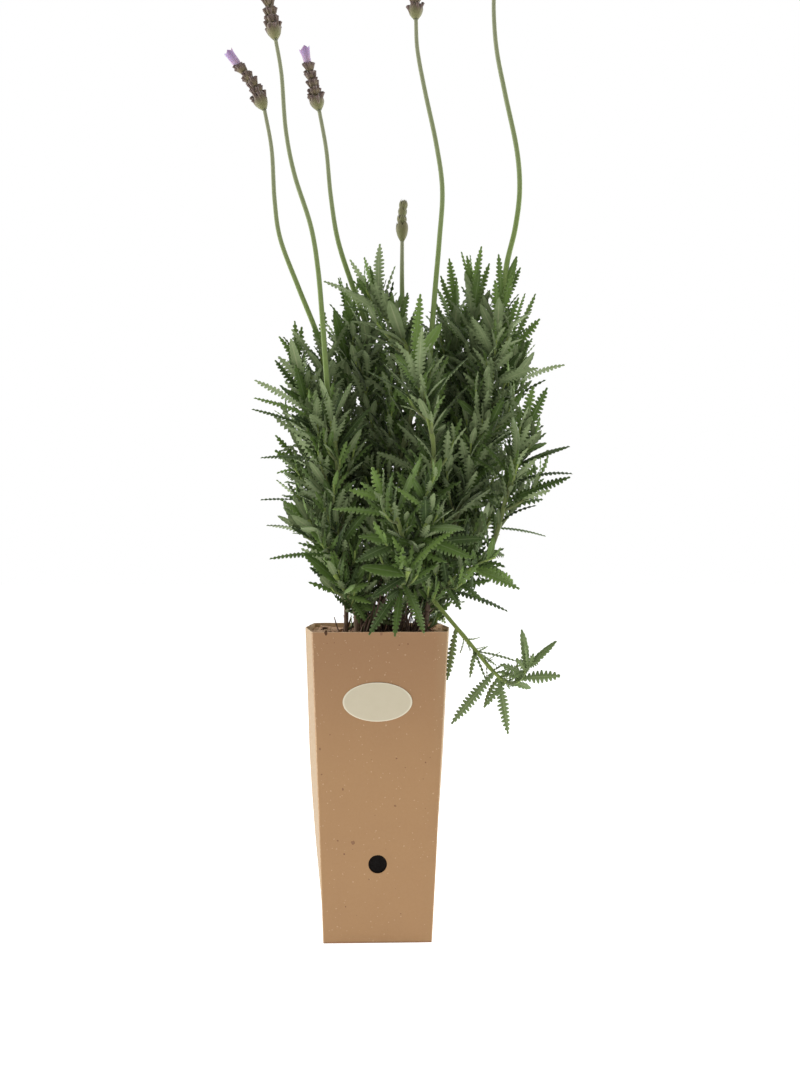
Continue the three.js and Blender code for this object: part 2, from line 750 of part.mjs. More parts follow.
// Flower stalks, each standing on the tip of a shoot.
const STALKS = {
  1: {
    route: [
      [-39, 7, 405], [-44, 8, 419], [-55, 7, 446], [-67, 6, 478], [-71, 6, 505],
      [-73, 5, 540], [-78, 5, 568],
    ],
  },
  2: {
    route: [
      [-33, -25, 362], [-35, -25, 390], [-37, -25, 417], [-40, -24, 451], [-45, -22, 481],
      [-56, -20, 516], [-62, -18, 547], [-65, -16, 585], [-69, -16, 609],
    ],
  },
  3: {
    route: [[-5, 10, 414], [-17, 9, 447], [-27, 7, 478], [-32, 6, 509], [-35, 5, 540], [-40, 5, 568]],
  },
  4: {
    route: [[19, 11, 413], [18, 10, 444], [18, 9, 478]],
  },
  5: {
    route: [
      [36, -7, 362], [37, -8, 399], [40, -9, 440], [43, -9, 475], [45, -10, 509],
      [41, -8, 541], [33, -7, 579], [28, -6, 607], [27, -6, 628],
    ],
  },
  6: {
    route: [
      [87, -5, 431], [90, -5, 459], [96, -5, 485], [99, -5, 511], [97, -5, 539],
      [89, -5, 577], [83, -5, 608], [81, -5, 636], [82, -5, 658],
    ],
  },
};

// The spike that each stalk carries. A bud has no lilac tuft yet.
const SPIKES = {
  1: { path: [[-78, 5, 568], [-85, 4, 584], [-97, 3, 599]], width: 12, rings: 5, taper: 0.74 },
  2: { path: [[-69, -16, 609], [-73, -15, 630], [-77, -15, 651]], width: 12, rings: 6, taper: 0.8 },
  3: { path: [[-40, 5, 568], [-44, 6, 585], [-48, 6, 602]], width: 12, rings: 5, taper: 0.74 },
  4: { path: [[18, 9, 478], [18, 9, 493], [19, 9, 504]], width: 10, rings: 4, taper: 0.85, bud: true },
  5: { path: [[27, -6, 628], [26, -6, 649], [24, -6, 668]], width: 12, rings: 6, taper: 0.8 },
  6: { path: [[82, -5, 658], [83, -5, 678], [87, -5, 696]], width: 12, rings: 6, taper: 0.8 },
};

// ---- putting the plant together --------------------------------------------------------------

const placed = []; // every solid so far, with the name of its node and its box
function place(node, piece) {
  placed.push({ node, piece, box: piece.boundingBox() });
  return piece;
}

const boxesMeet = (a, b) =>
  [0, 1, 2].every((i) => a.min[i] - CLEAR < b.max[i] && b.min[i] - CLEAR < a.max[i]);

function isClear(node, piece) {
  const box = piece.boundingBox();
  return !placed.some(
    (other) =>
      other.node !== node &&
      boxesMeet(box, other.box) &&
      piece.minGap(other.piece, CLEAR) < CLEAR - 0.02,
  );
}

// The largest body of what is left after the cuts.
function cutBy(piece, cutters) {
  const box = piece.boundingBox();
  const near = cutters.filter((c) => boxesMeet(box, c.boundingBox()));
  const left = near.reduce((rest, cutter) => rest.subtract(cutter), piece);
  return left.decompose().sort((a, b) => b.volume() - a.volume())[0];
}

const curveSteps = (curve, pitch) => Math.max(3, Math.round(curve.getLength() / pitch));

const nodes = {};
nodes.card_box = place("card_box", cardBox());
nodes.paper_label = place("paper_label", label());

const seats = []; // each stem so far, larger by the seat gap
const holes = [];
for (const [name, { route, radii }] of Object.entries(WOODY)) {
  const curve = curveThrough(route);
  const steps = curveSteps(curve, WOODY_STEP);
  nodes[name] = place(name, cutBy(stem(curve, radii, steps, 0, 5), seats));
  seats.push(stem(curve, radii, steps, SEAT, 5));
  holes.push(seats[seats.length - 1]);
}
nodes.soil = place("soil", soil(holes));

const shoots = Object.entries(SHOOTS).map(([name, shoot], i) => {
  const curve = curveThrough(shoot.route);
  const steps = curveSteps(curve, SHOOT_STEP);
  const axis = place(name, cutBy(stem(curve, SHOOT_RADIUS, steps), seats));
  seats.push(stem(curve, SHOOT_RADIUS, steps, SEAT));
  return { ...shoot, name, seed: i + 1, curve, length: curve.getLength(), blades: [axis] };
});

for (const [number, stalk] of Object.entries(STALKS)) {
  const name = `flower_stalk_${number}`;
  const curve = curveThrough(stalk.route);
  const steps = curveSteps(curve, STALK_STEP);
  nodes[name] = place(name, cutBy(stem(curve, STALK_RADIUS, steps), seats));
  const head = `flower_spike_${number}`;
  nodes[head] = place(head, spikeSolid(SPIKES[number]));
  if (SPIKES[number].bud) continue;
  const tuft = `lilac_tuft_${number}`;
  nodes[tuft] = place(tuft, tuftSolid(SPIKES[number]));
}

// A leaf goes in at the first of its bends that is clear of every other node, or not at all.
function growLeaf(shoot, leafBent, bends) {
  for (const bent of bends) {
    const leaf = blade(leafBent(bent));
    if (!isClear(shoot.name, leaf)) continue;
    shoot.blades.push(place(shoot.name, leaf));
    return;
  }
}

for (const shoot of shoots)
  for (const chosen of shoot.leaves ?? [])
    growLeaf(shoot, (bent) => tipLeaf(shoot, chosen, bent), TIP_BENDS);

// The pairs come in turn from every tip downwards, so that the tips keep theirs.
const MOST_PAIRS = Math.max(...shoots.map((shoot) => shoot.pairs[1]));
for (let pair = 0; pair < MOST_PAIRS; pair++)
  for (const shoot of shoots) {
    const fits = TIP_GAP + PAIR_SPACING * pair < shoot.length - 12;
    if (pair < shoot.pairs[0] || pair >= shoot.pairs[1] || !fits) continue;
    for (const side of [0, 1])
      growLeaf(shoot, (bent) => pairLeaf(shoot, pair, side, bent), PAIR_BENDS);
  }
for (const shoot of shoots)
  nodes[shoot.name] = cutBy(wasm.Manifold.union(shoot.blades), holes);

// ---- the scene graph -------------------------------------------------------------------------

const paint = (color, roughness) => new THREE.MeshStandardMaterial({ color, roughness, metalness: 0 });
const MATERIALS = {
  card_box: paint(0xae8660, 0.85),
  paper_label: paint(0xd6cba8, 0.6),
  soil: paint(0x6b4a35, 1),
  woody_stem: paint(0x6a5445, 0.9),
  leafy_shoot: paint(0x4f6d40, 0.75),
  flower_stalk: paint(0x84985a, 0.7),
  flower_spike: paint(0x75674f, 0.85),
  lilac_tuft: paint(0xa684c4, 0.7),
};

const potted_lavender = new THREE.Group();
for (const [name, piece] of Object.entries(nodes)) {
  const finish = Object.keys(MATERIALS).find((key) => name.startsWith(key));
  const mesh = new THREE.Mesh(geometryOf(piece), MATERIALS[finish]);
  mesh.name = name;
  potted_lavender.add(mesh);
}

export default potted_lavender;
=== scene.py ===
"""Toothed lavender in a tall folded kraft-card box: the visible pieces, built around the solids.

Lengths in this file are millimetres in the object's own frame, unless a property says otherwise:
+Z up, the front of the box towards -Y, the origin under the middle of the box's base.
"""

import math

import bpy
import numpy as np
from mathutils import Euler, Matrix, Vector


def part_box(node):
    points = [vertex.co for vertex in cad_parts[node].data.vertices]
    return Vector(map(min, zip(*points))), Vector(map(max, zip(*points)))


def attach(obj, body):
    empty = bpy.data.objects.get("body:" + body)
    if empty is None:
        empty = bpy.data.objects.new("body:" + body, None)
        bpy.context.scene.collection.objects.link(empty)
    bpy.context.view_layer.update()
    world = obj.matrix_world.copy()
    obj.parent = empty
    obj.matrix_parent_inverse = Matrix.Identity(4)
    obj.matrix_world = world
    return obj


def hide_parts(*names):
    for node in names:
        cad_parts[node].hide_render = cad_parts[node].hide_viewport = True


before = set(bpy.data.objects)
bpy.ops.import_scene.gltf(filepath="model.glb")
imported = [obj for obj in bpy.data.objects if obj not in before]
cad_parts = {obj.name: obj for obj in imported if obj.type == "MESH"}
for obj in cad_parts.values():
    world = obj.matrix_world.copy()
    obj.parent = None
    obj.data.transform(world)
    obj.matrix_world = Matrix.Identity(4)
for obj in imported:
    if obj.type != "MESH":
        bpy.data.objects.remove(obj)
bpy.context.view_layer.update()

bl_info = {
    "name": "Potted lavender",
    "version": (1, 0, 0),
    "blender": (4, 5, 0),
    "location": "View3D > Sidebar > Lavender",
    "description": "Toothed lavender in a folded kraft-card box, built around its packed solids",
    "category": "Object",
}

MM = 0.001

# ---- sizes shared with the solids ------------------------------------------------------------

BOX_LOW, BOX_HIGH = (np.array(corner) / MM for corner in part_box("card_box"))
BOX_HEIGHT = BOX_HIGH[2]
BOX_TOP = BOX_HIGH[1] - BOX_LOW[1]  # outside depth at the rim, and its width
BOX_BASE = 72.5
BOX_LEAN = 1.6  # the rim's middle stands this far right of the base's
BOX_SKEW = 1.4  # the rim's back panel is shifted this far left
CREASE_LEFT = 6.0
CREASE_RIGHT = 3.8
CREASE_FULL = 0.62  # share of the height at which the side creases stand out fully
FLOOR = 1.6  # thickness of the floor
VENT_RADIUS = 6.2
VENT_HEIGHT = 53.0
LABEL_X = -0.2
LABEL_CENTRE = 161.5
SOIL_TOP = 203.0
SOIL_GAP = 0.3  # between the soil and the card
# Crumbs on the front of the rim and just behind it: place, length, yaw, tilt.
RIM_CRUMBS = (
    ((-34.2, -45.1, 207.2), 4.2, 1.5, 1.2),
    ((-31.8, -44.6, 208.3), 1.6, 0.4, 0.1),
    ((-27.4, -42.0, 207.4), 4.0, 0.4, 0.3),
    ((-23.0, -43.2, 207.6), 3.4, 0.4, -0.2),
    ((-39.0, -42.5, 207.2), 2.6, 0.4, 0.2),
    ((36.5, -44.6, 208.3), 1.6, 0.4, 0.1),
)

# Radius at the foot and at the tip.
SHOOT_RADIUS = (2.0, 1.5)
TWIG_RADIUS = (1.1, 0.7)
LOW_TWIG_RADIUS = (1.0, 0.7)
STALK_RADIUS = (2.1, 1.45)
# How square a stem's section is, and how deep the groove along each of its faces.
WOOD_SECTION = (0.1, 0.03)
SHOOT_SECTION = (0.5, 0.05)
STALK_SECTION = (0.6, 0.07)
ROUND_SECTION = (0, 0)

LEAF_LENGTH = (33, 41, 44, 42, 38)  # by pair, from the tip of the shoot down
PLAIN_WIDTH = 0.19  # width of a leaf of a pair, as a share of its length
PAIR_SPACING = 17
TIP_GAP = 2.5  # from the shoot's tip to its first pair
SAME_TIP = 0.2  # a leaf whose tip is this near to a corner of its solid is the solid's own
# Longest small leaf on a shoot, on the trailing branch, on a side shoot and on a low twig, and the
# distance from each one's tip to its first small leaves.
SMALL, SMALL_TRAILING, SMALL_ON_TWIG, SMALL_LOW = 34, 17, 28, 25
FIRST_SMALL, FIRST_ON_TWIG = 4, 2
NEAR = 21  # how far from the solids' leaves a small leaf's tip may lie
NEAR_LOW = 26  # the same low down in the bush

BRACTS = 5  # in a cup
CALYCES = 2 * BRACTS - 1
FIRST_BRACT = 0.35  # turn of the first one, in radians
LOWEST_CUP = 1.7  # height of the lowest cup, as a multiple of the others'
PETAL_LENGTH = 12.5

# Seeds of the random draws. A piece with a number adds it to the seed.
LEAF_SEED, FILL_SEED, SPIKE_SEED, TUFT_SEED, YOUNG_SEED, BARK_SEED = 100, 200, 300, 400, 500, 60
CHIPS_SEED, FIBRES_SEED, TWIGS_SEED, LOW_SEED = 51, 52, 53, 77
CARD_SEED, RIM_SEED, PAPER_SEED, LUMP_SEED, PEAT_SEED = 3, 9, 5, 21, 33

# How a leaf of a pair may be bent clear of its neighbours: turned, raised, shortened.
PAIR_BENDS = (
    (0, 0, 1), (17, 0, 1), (-17, 0, 1), (0, -9, 1), (0, 11, 1), (33, 4, 0.95), (-33, 4, 0.95),
    (14, 14, 0.82), (-14, -9, 0.82), (26, -8, 0.75), (-26, 8, 0.75), (0, 0, 0.62),
)
# The same for a leaf placed by its tip: how far back the tip moves, and the share of its length.
TIP_BENDS = (
    (0, 1), (-5, 1), (6, 1), (-11, 1), (12, 1), (-17, 0.95), (18, 0.95), (0, 0.85), (-8, 0.8),
    (9, 0.8), (0, 0.68),
)

# ---- where each piece of the plant grows -----------------------------------------------------

# Woody stems: radius at each end, route from below the soil upwards.
WOODY = {
    1: ((1.7, 1.3), [[-21, -1, 187], [-21, -2, 219], [-19, -1, 241], [-17, 3, 265], [-17, 9, 282]]),
    2: (
        (2.6, 1.7),
        [[-13, -9, 186], [-14, -10, 219], [-17, -9, 234], [-22, -11, 263], [-25, -7, 296]],
    ),
    3: ((2.5, 1.5), [[2, 5, 186], [3, 8, 226], [5, 10, 254], [5, 14, 282], [5, 14, 311]]),
    4: ((2.3, 1.6), [[13, -12, 187], [14, -16, 228], [13, -20, 255], [14, -22, 275]]),
    5: ((2.4, 1.6), [[23, 1, 186], [30, 1, 218], [38, -1, 234], [47, -2, 255], [52, -2, 275]]),
    6: ((2.3, 1.5), [[30, 17, 186], [38, 21, 226], [46, 24, 254], [50, 26, 283], [51, 26, 297]]),
    7: ((1.9, 1.6), [[32, -15, 187], [34, -17, 219], [36, -19, 230]]),
}

# Woody stems whose bark has worn to a paler one, as a share.
WORN_BARK = {1: 0.25, 2: 0.8, 4: 0.2}

# Leafy shoots: route, turn of the first pair, extra pitch, pairs from the tip down, and leaves
# placed one by one: where on the stem, the tip, the width, the turn of the upper side, the bend.
# near lets small leaves stand further out, and more of them. One shoot trails over the rim.
SHOOTS = {
    1: dict(
        route=[[51, 26, 297], [61, 22, 340], [67, 12, 385], [68, 6, 438]], near=27,
        turn=20, spread=0, pairs=[2, 4],
        leaves=[
            [0.99, [59, 4, 470], 5, 55, 10], [0.99, [66, 14, 470], 4, 60, 8],
            [0.99, [73, 0, 473], 6, 35, 10], [0.93, [71, -7, 455], 7.5, 5, 22],
        ],
    ),
    2: dict(
        route=[[52, -2, 275], [66, -8, 317], [78, -7, 372], [87, -5, 431]], near=27,
        turn=60, spread=4, pairs=[2, 4],
        leaves=[
            [0.99, [78, -13, 459], 6.5, 20, 12], [0.99, [85, -1, 468], 5, 30, 8],
            [0.99, [100, -4, 467], 4.5, 70, 12], [0.98, [100, -14, 458], 6.5, 30, 12],
            [0.4, [86, -23, 366], 9, 5, 18],
        ],
    ),
    3: dict(
        route=[[50, 26, 281], [75, 27, 318], [93, 23, 368], [96, 19, 403]],
        turn=0, spread=6, pairs=[2, 4],
        leaves=[
            [0.99, [107, 25, 445], 6, 55, 26], [0.99, [113, 15, 443], 6, 40, 10],
            [0.99, [115, 8, 424], 7.5, 35, 12], [0.89, [109, 22, 411], 8, 30, 14],
            [0.66, [95, 5, 394], 9, 5, 14],
        ],
    ),
    4: dict(
        route=[[48, -2, 257], [74, -19, 258], [87, -25, 296], [94, -27, 326], [99, -27, 346]],
        turn=75, spread=8, pairs=[2, 4],
        leaves=[
            [0.99, [105, -31, 372], 7.5, 25, 10], [0.8, [114, -34, 371], 8, 20, 10],
            [0.67, [131, -24, 332], 6, 60, 18], [0.49, [130, -32, 311], 8, 35, 14],
            [0.35, [88, -31, 267], 5, 60, 60], [0.33, [66, -31, 279], 8, 20, 14],
        ],
    ),
    5: dict(
        route=[[44, -1, 244], [66, 8, 257], [81, 11, 286], [91, 11, 306]],
        turn=10, spread=22, pairs=[1, 3],
        leaves=[[0.98, [113, 4, 319], 8, 20, 14]],
    ),
    6: dict(
        route=[[48, 25, 268], [51, 40, 326], [54, 36, 384], [58, 30, 426]], near=27,
        turn=35, spread=0, pairs=[1, 4],
        leaves=[[0.99, [52, 22, 469], 7.5, 10, 12]],
    ),
    7: dict(
        route=[[40, -1, 236], [37, -7, 296], [36, -7, 362]],
        turn=90, spread=4, pairs=[0, 4],
    ),
    8: dict(
        route=[[14, -22, 275], [31, -37, 295], [37, -41, 328], [31, -41, 358], [24, -37, 385]],
        turn=15, spread=2, pairs=[1, 3],
        leaves=[
            [0.99, [28, -47, 431], 7.5, 5, 12], [0.99, [43, -32, 414], 8, 20, 14],
        ],
    ),
    9: dict(
        route=[[5, 14, 311], [13, 16, 353], [19, 11, 413]],
        turn=0, spread=-4, pairs=[1, 3],
        leaves=[
            [0.99, [12, 7, 441], 3.4, 10, 6], [0.99, [23, 7, 441], 3.4, 10, 6],
        ],
    ),
    10: dict(
        route=[
            [5, 14, 282], [16, 3, 324], [26, -7, 368], [21, -11, 399], [5, -8, 423], [1, -8, 431],
        ],
        turn=60, spread=0, pairs=[0, 3],
        leaves=[[0.99, [-5, -10, 457], 5, 70, 14]],
    ),
    11: dict(
        route=[[5, 10, 258], [-9, 24, 332], [-7, 16, 381], [-5, 10, 414]],
        turn=110, spread=0, pairs=[1, 3],
        leaves=[
            [0.99, [-13, 8, 450], 4.5, 60, 10], [0.99, [-10, 18, 452], 4.5, 60, 10],
            [0.99, [3, 4, 450], 7.5, 15, 16],
        ],
    ),
    12: dict(
        route=[[-17, 9, 282], [-22, 17, 346], [-19, 23, 389], [-18, 25, 421]],
        turn=30, spread=0, pairs=[3, 4],
        leaves=[
            [0.99, [-26, 21, 455], 5, 65, 12], [0.97, [-21, 15, 445], 6.5, 15, 16],
            [0.68, [-30, 8, 429], 7.5, 10, 10], [0.81, [-24, 18, 430], 4.5, 70, 8],
            [0.53, [-31, 3, 394], 7.5, 5, 26],
        ],
    ),
    13: dict(
        route=[[-25, -7, 296], [-28, -21, 329], [-33, -25, 362]],
        turn=25, spread=6, pairs=[0, 3],
    ),
    14: dict(
        route=[[-17, 3, 265], [-31, 9, 331], [-39, 7, 405]],
        turn=100, spread=4, pairs=[0, 3],
    ),
    15: dict(
        route=[[-23, -10, 272], [-42, 2, 334], [-55, 6, 390]],
        turn=0, spread=2, pairs=[1, 3],
        leaves=[
            [0.99, [-57, 4, 421], 5.5, 20, 12], [0.83, [-65, -1, 409], 6, 60, 60],
            [0.77, [-71, 7, 394], 6.5, 40, 16], [0.71, [-56, -9, 389], 7.5, 10, 22],
            [0.75, [-62, -3, 372], 6, 50, 20],
        ],
    ),
    16: dict(
        route=[[-21, -11, 255], [-35, -17, 309], [-44, -12, 353]],
        turn=0, spread=24, pairs=[1, 3],
        leaves=[
            [0.99, [-84, -15, 365], 7, 50, 22], [0.88, [-86, -8, 358], 5.5, 65, 18],
            [0.9, [-58, -21, 353], 7, 30, 18], [0.81, [-61, -10, 345], 4, 40, 10],
        ],
    ),
    17: dict(
        route=[[-18, -1, 248], [-36, 13, 289], [-52, 18, 318]],
        turn=20, spread=20, pairs=[1, 3],
        leaves=[
            [0.99, [-71, 13, 342], 6.5, 50, 16], [0.99, [-71, 7, 331], 7.5, 20, 14],
            [0.98, [-70, 12, 315], 5.5, 70, 44],
        ],
    ),
    18: dict(
        route=[[-18, -9, 241], [-33, -25, 265], [-47, -30, 282]],
        turn=0, spread=16, pairs=[1, 3],
        leaves=[
            [0.99, [-65, -35, 296], 7, 45, 20], [0.73, [-51, -22, 286], 6, 30, 14],
            [0.69, [-56, -31, 275], 5, 40, 26],
        ],
    ),
    19: dict(
        route=[[-15, -10, 224], [-22, -23, 235], [-29, -33, 246]],
        turn=10, spread=22, pairs=[1, 2],
        leaves=[
            [0.99, [-41, -30, 266], 4.5, 60, 20], [0.54, [-50, -31, 260], 8, 35, 14],
        ],
    ),
    20: dict(
        route=[[13, -21, 263], [17, -43, 265], [12, -53, 283], [3, -57, 295]],
        turn=70, spread=20, pairs=[1, 3],
        leaves=[
            [0.99, [-4, -63, 316], 7, 5, 16], [0.99, [-19, -66, 301], 7, 25, 30],
            [0.02, [-22, -35, 261], 7.5, 30, 16],
        ],
    ),
    21: dict(
        route=[[13, -19, 248], [28, -47, 269], [33, -59, 287]],
        turn=40, spread=24, pairs=[1, 3],
        leaves=[
            [0.99, [10, -66, 303], 5.5, 50, 20], [0.75, [30, -68, 297], 9, 5, 22],
            [0.52, [61, -61, 257], 9, 15, 24],
        ],
    ),
    22: dict(
        route=[[14, -17, 233], [17, -39, 239], [20, -55, 249]],
        turn=35, spread=34, pairs=[1, 3],
        leaves=[
            [0.99, [9, -62, 271], 5.5, 40, 14], [0.99, [53, -62, 277], 6.5, 55, 40],
            [0.85, [-11, -55, 251], 9, 25, 18], [0.79, [-4, -58, 231], 7.5, 35, 18],
            [0.36, [-6, -47, 206], 7.5, 20, 24], [0.36, [11, -45, 205], 6, 15, 20],
        ],
    ),
    23: dict(
        route=[[34, 0, 225], [49, -24, 240], [64, -36, 250]],
        turn=20, spread=20, pairs=[2, 3],
        leaves=[
            [0.99, [94, -45, 236], 9, 25, 24], [0.99, [91, -33, 241], 8, 15, 60],
            [0.6, [70, -34, 228], 7, 35, 20], [0.42, [57, -19, 221], 6, 25, 16],
        ],
    ),
    24: dict(
        route=[
            [36, -19, 230], [42, -25, 223], [63, -29, 198], [78, -34, 180], [88, -35, 173],
            [95, -35, 175], [101, -37, 184],
        ],
        turn=0, spread=20, pairs=[9, 9], trails=True,
        leaves=[
            [0.15, [56, -23, 219], 4.5, 40, 14], [0.24, [47, -31, 175], 5, 25, 20],
            [0.25, [63, -23, 193], 3.5, 70, 40], [0.33, [73, -35, 173], 4.5, 60, 12],
            [0.37, [81, -23, 183], 4.5, 60, 12], [0.37, [95, -27, 186], 4, 75, 16],
            [0.5, [49, -39, 146], 7.5, 15, 14], [0.54, [87, -39, 139], 8, 15, 10],
            [0.55, [72, -28, 155], 5, 40, 50], [0.86, [122, -40, 178], 8, 20, 12],
            [0.91, [81, -43, 186], 7, 30, 26], [0.99, [120, -36, 201], 6, 40, 14],
            [0.98, [96, -39, 209], 5.5, 25, 12], [0.98, [97, -45, 200], 4, 60, 10],
        ],
    ),
    25: dict(
        route=[[-19, -1, 234], [-33, 39, 297], [-39, 47, 367]],
        turn=45, spread=6, pairs=[0, 3],
    ),
    26: dict(
        route=[[3, 8, 226], [-1, 52, 312], [3, 58, 390]],
        turn=80, spread=4, pairs=[0, 3],
    ),
    27: dict(
        route=[[39, 21, 226], [40, 57, 312], [43, 57, 397]],
        turn=30, spread=4, pairs=[0, 3],
    ),
    28: dict(
        route=[[44, 24, 247], [69, 50, 297], [88, 55, 349]],
        turn=10, spread=12, pairs=[0, 3],
    ),
    29: dict(
        route=[[-21, -2, 223], [-37, 33, 261], [-49, 48, 294]],
        turn=30, spread=18, pairs=[0, 3],
    ),
    30: dict(
        route=[[4, 9, 240], [18, 47, 275], [28, 67, 305]],
        turn=20, spread=18, pairs=[0, 3],
    ),
    31: dict(
        route=[[36, 20, 213], [36, 47, 232], [42, 63, 249]],
        turn=60, spread=24, pairs=[0, 3],
    ),
}

# Slender young leaves that stand up from the highest shoots, and some that hang low or from the
# trailing branch, written as the shoots' own leaves are.
YOUNG_LEAVES = {
    1: [
        [0.92, [79, 4, 462], 6, 20, 14], [1.0, [63, 3, 467], 5, 10, 10],
        [0.9, [64, 6, 452], 7, 10, 8], [0.84, [74, 2, 446], 7, 15, 10],
        [0.95, [70, -4, 464], 6, 15, 10],
    ],
    2: [
        [0.97, [84, -8, 466], 6, 15, 10], [0.99, [97, -6, 465], 6, 30, 18],
        [0.98, [100, -2, 458], 5.5, 20, 14], [0.88, [81, -13, 447], 7.5, 15, 10],
        [0.92, [93, -11, 451], 7, 15, 12], [0.8, [98, -8, 436], 7.5, 20, 16],
    ],
    3: [
        [0.68, [97, 18, 396], 6, 20, 14],
    ],
    6: [
        [0.98, [46, 24, 457], 6, 20, 10], [0.92, [57, 20, 455], 7, 15, 10],
        [0.8, [43, 28, 438], 6.5, 20, 14], [0.82, [65, 22, 437], 7, 20, 14],
    ],
    10: [
        [0.8, [-5, -12, 455], 5.5, 20, 16], [1.0, [2, -6, 449], 5, 15, 12],
        [0.72, [10, -12, 438], 5, 10, 10], [0.68, [21, -13, 438], 6, 10, 8],
    ],
    12: [
        [0.98, [-27, 24, 455], 5, 25, 20], [1.0, [-21, 22, 451], 5, 10, 12],
        [0.97, [-13, 26, 452], 5, 20, 14], [0.87, [-30, 22, 432], 6, 20, 16],
        [0.89, [-23, 18, 431], 6, 10, 10],
    ],
    14: [
        [0.97, [-44, 5, 418], 5.5, 10, 14], [1.0, [-36, 4, 427], 5.5, 15, 10],
    ],
    15: [
        [0.94, [-68, 3, 410], 5, 40, 40], [1.0, [-52, 4, 417], 5.5, 15, 12],
    ],
    19: [
        [0.05, [-3, -22, 221], 6.5, 20, 30], [0.15, [-8, -26, 214], 6.5, 20, 30],
        [0.3, [-4, -30, 226], 6, 30, 25], [0.1, [-12, -22, 212], 5.5, 40, 25],
        [0.45, [-6, -30, 239], 7, 20, 25], [0.3, [-10, -24, 243], 6.5, 30, 20],
    ],
    25: [
        [0.05, [-6, -2, 241], 7, 20, 20], [0.12, [-9, 4, 252], 7, 25, 20],
    ],
    24: [
        [0.26, [47, -29, 174], 5.5, 20, 12], [0.36, [62, -32, 176], 3.5, 20, 12],
        [0.62, [71, -38, 157], 5, 30, 15], [0.93, [96, -40, 200], 3.5, 20, 20],
        [0.86, [80, -40, 181], 5, 20, 20], [1.0, [104, -40, 193], 4, 10, 20],
        [1.0, [99, -40, 193], 4, 20, 20], [1.0, [108, -39, 188], 4.5, 15, 20],
        [0.95, [92, -42, 190], 5, 15, 25], [0.93, [91, -41, 178], 4.5, 20, 25],
    ],
}

# Flower stalks, each standing on the tip of a shoot.
STALKS = {
    1: [
        [-39, 7, 405], [-44, 8, 419], [-55, 7, 446], [-67, 6, 478],
        [-71, 6, 505], [-73, 5, 540], [-78, 5, 568],
    ],
    2: [
        [-33, -25, 362], [-35, -25, 390], [-37, -25, 417], [-40, -24, 451], [-45, -22, 481],
        [-56, -20, 516], [-62, -18, 547], [-65, -16, 585], [-69, -16, 609],
    ],
    3: [[-5, 10, 414], [-17, 9, 447], [-27, 7, 478], [-32, 6, 509], [-35, 5, 540], [-40, 5, 568]],
    4: [[19, 11, 413], [18, 10, 444], [18, 9, 478]],
    5: [
        [36, -7, 362], [37, -8, 399], [40, -9, 440], [43, -9, 475], [45, -10, 509],
        [41, -8, 541], [33, -7, 579], [28, -6, 607], [27, -6, 628],
    ],
    6: [
        [87, -5, 431], [90, -5, 459], [96, -5, 485], [99, -5, 511], [97, -5, 539],
        [89, -5, 577], [83, -5, 608], [81, -5, 636], [82, -5, 658],
    ],
}

# The spike that each stalk carries: path, width, cups, how much slimmer the upper cups are. Spike 4
# is a bud with no lilac tuft yet.
SPIKES = {
    1: dict(path=[[-78, 5, 568], [-85, 4, 584], [-97, 3, 599]], width=12, rings=5, taper=0.74),
    2: dict(path=[[-69, -16, 609], [-73, -15, 630], [-77, -15, 651]], width=12, rings=6, taper=0.8),
    3: dict(path=[[-40, 5, 568], [-44, 6, 585], [-48, 6, 602]], width=12, rings=5, taper=0.74),
    4: dict(
        path=[[18, 9, 478], [18, 9, 493], [19, 9, 504]], width=10, rings=4, taper=0.85, bud=True
    ),
    5: dict(path=[[27, -6, 628], [26, -6, 649], [24, -6, 668]], width=12, rings=6, taper=0.8),
    6: dict(path=[[82, -5, 658], [83, -5, 678], [87, -5, 696]], width=12, rings=6, taper=0.8),
}

# ---- shapes ----------------------------------------------------------------------------------


def unit(vectors):
    """Each vector divided by its length."""
    vectors = np.asarray(vectors, float)
    return vectors / np.linalg.norm(vectors, axis=-1, keepdims=True)


def draws(seed):
    """The solids' own draws: a linear congruential sequence, each value from 0 to 1."""
    state = seed
    while True:
        state = (state * 1664525 + 1013904223) % 4294967296
        yield state / 4294967296


def rumple(points, size, seed, octaves=3):
    """Soft noise from about -1 to 1: sines in seeded random directions, a size apart, finer and
    weaker with each octave."""
    random = np.random.default_rng(seed)
    total = np.zeros(len(points))
    for octave in range(octaves):
        directions = unit(random.normal(size=(5, 3))) * (2 * np.pi / size) * 2**octave
        waves = np.sin(points @ directions.T + random.uniform(0, 6.3, 5))
        total += waves.mean(axis=1) / 1.6**octave
    return total


class Route:
    """A smooth curve through points: between two of them the cubic whose slopes there are half the
    step from each point's neighbour to its other neighbour. It runs from t = 0 to 1."""

    def __init__(self, points):
        points = np.array(points, float)
        self.points = np.vstack([2 * points[0] - points[1], points, 2 * points[-1] - points[-2]])
        self.spans = len(points) - 1
        self.length = np.linalg.norm(np.diff(self.at(np.linspace(0, 1, 201)), axis=0), axis=1).sum()

    def at(self, t):
        reach = np.asarray(t, float) * self.spans
        span = np.minimum(reach.astype(int), self.spans - 1)
        w = (reach - span)[..., None]
        before, start, end, after = (self.points[span + k] for k in range(4))
        leave, arrive = (end - before) / 2, (after - start) / 2
        square = (3 * end - 3 * start - 2 * leave - arrive) * w**2
        return start + leave * w + square + (2 * start - 2 * end + leave + arrive) * w**3

    def axes(self, t):
        """Along the curve, sideways across the front view, and to the back."""
        low = np.clip(np.asarray(t, float) - 1e-4, 0, 1)
        high = np.clip(np.asarray(t, float) + 1e-4, 0, 1)
        along = unit(self.at(high) - self.at(low))
        side = unit(np.cross(along, [0, 1, 0]))
        return along, side, unit(np.cross(along, side))


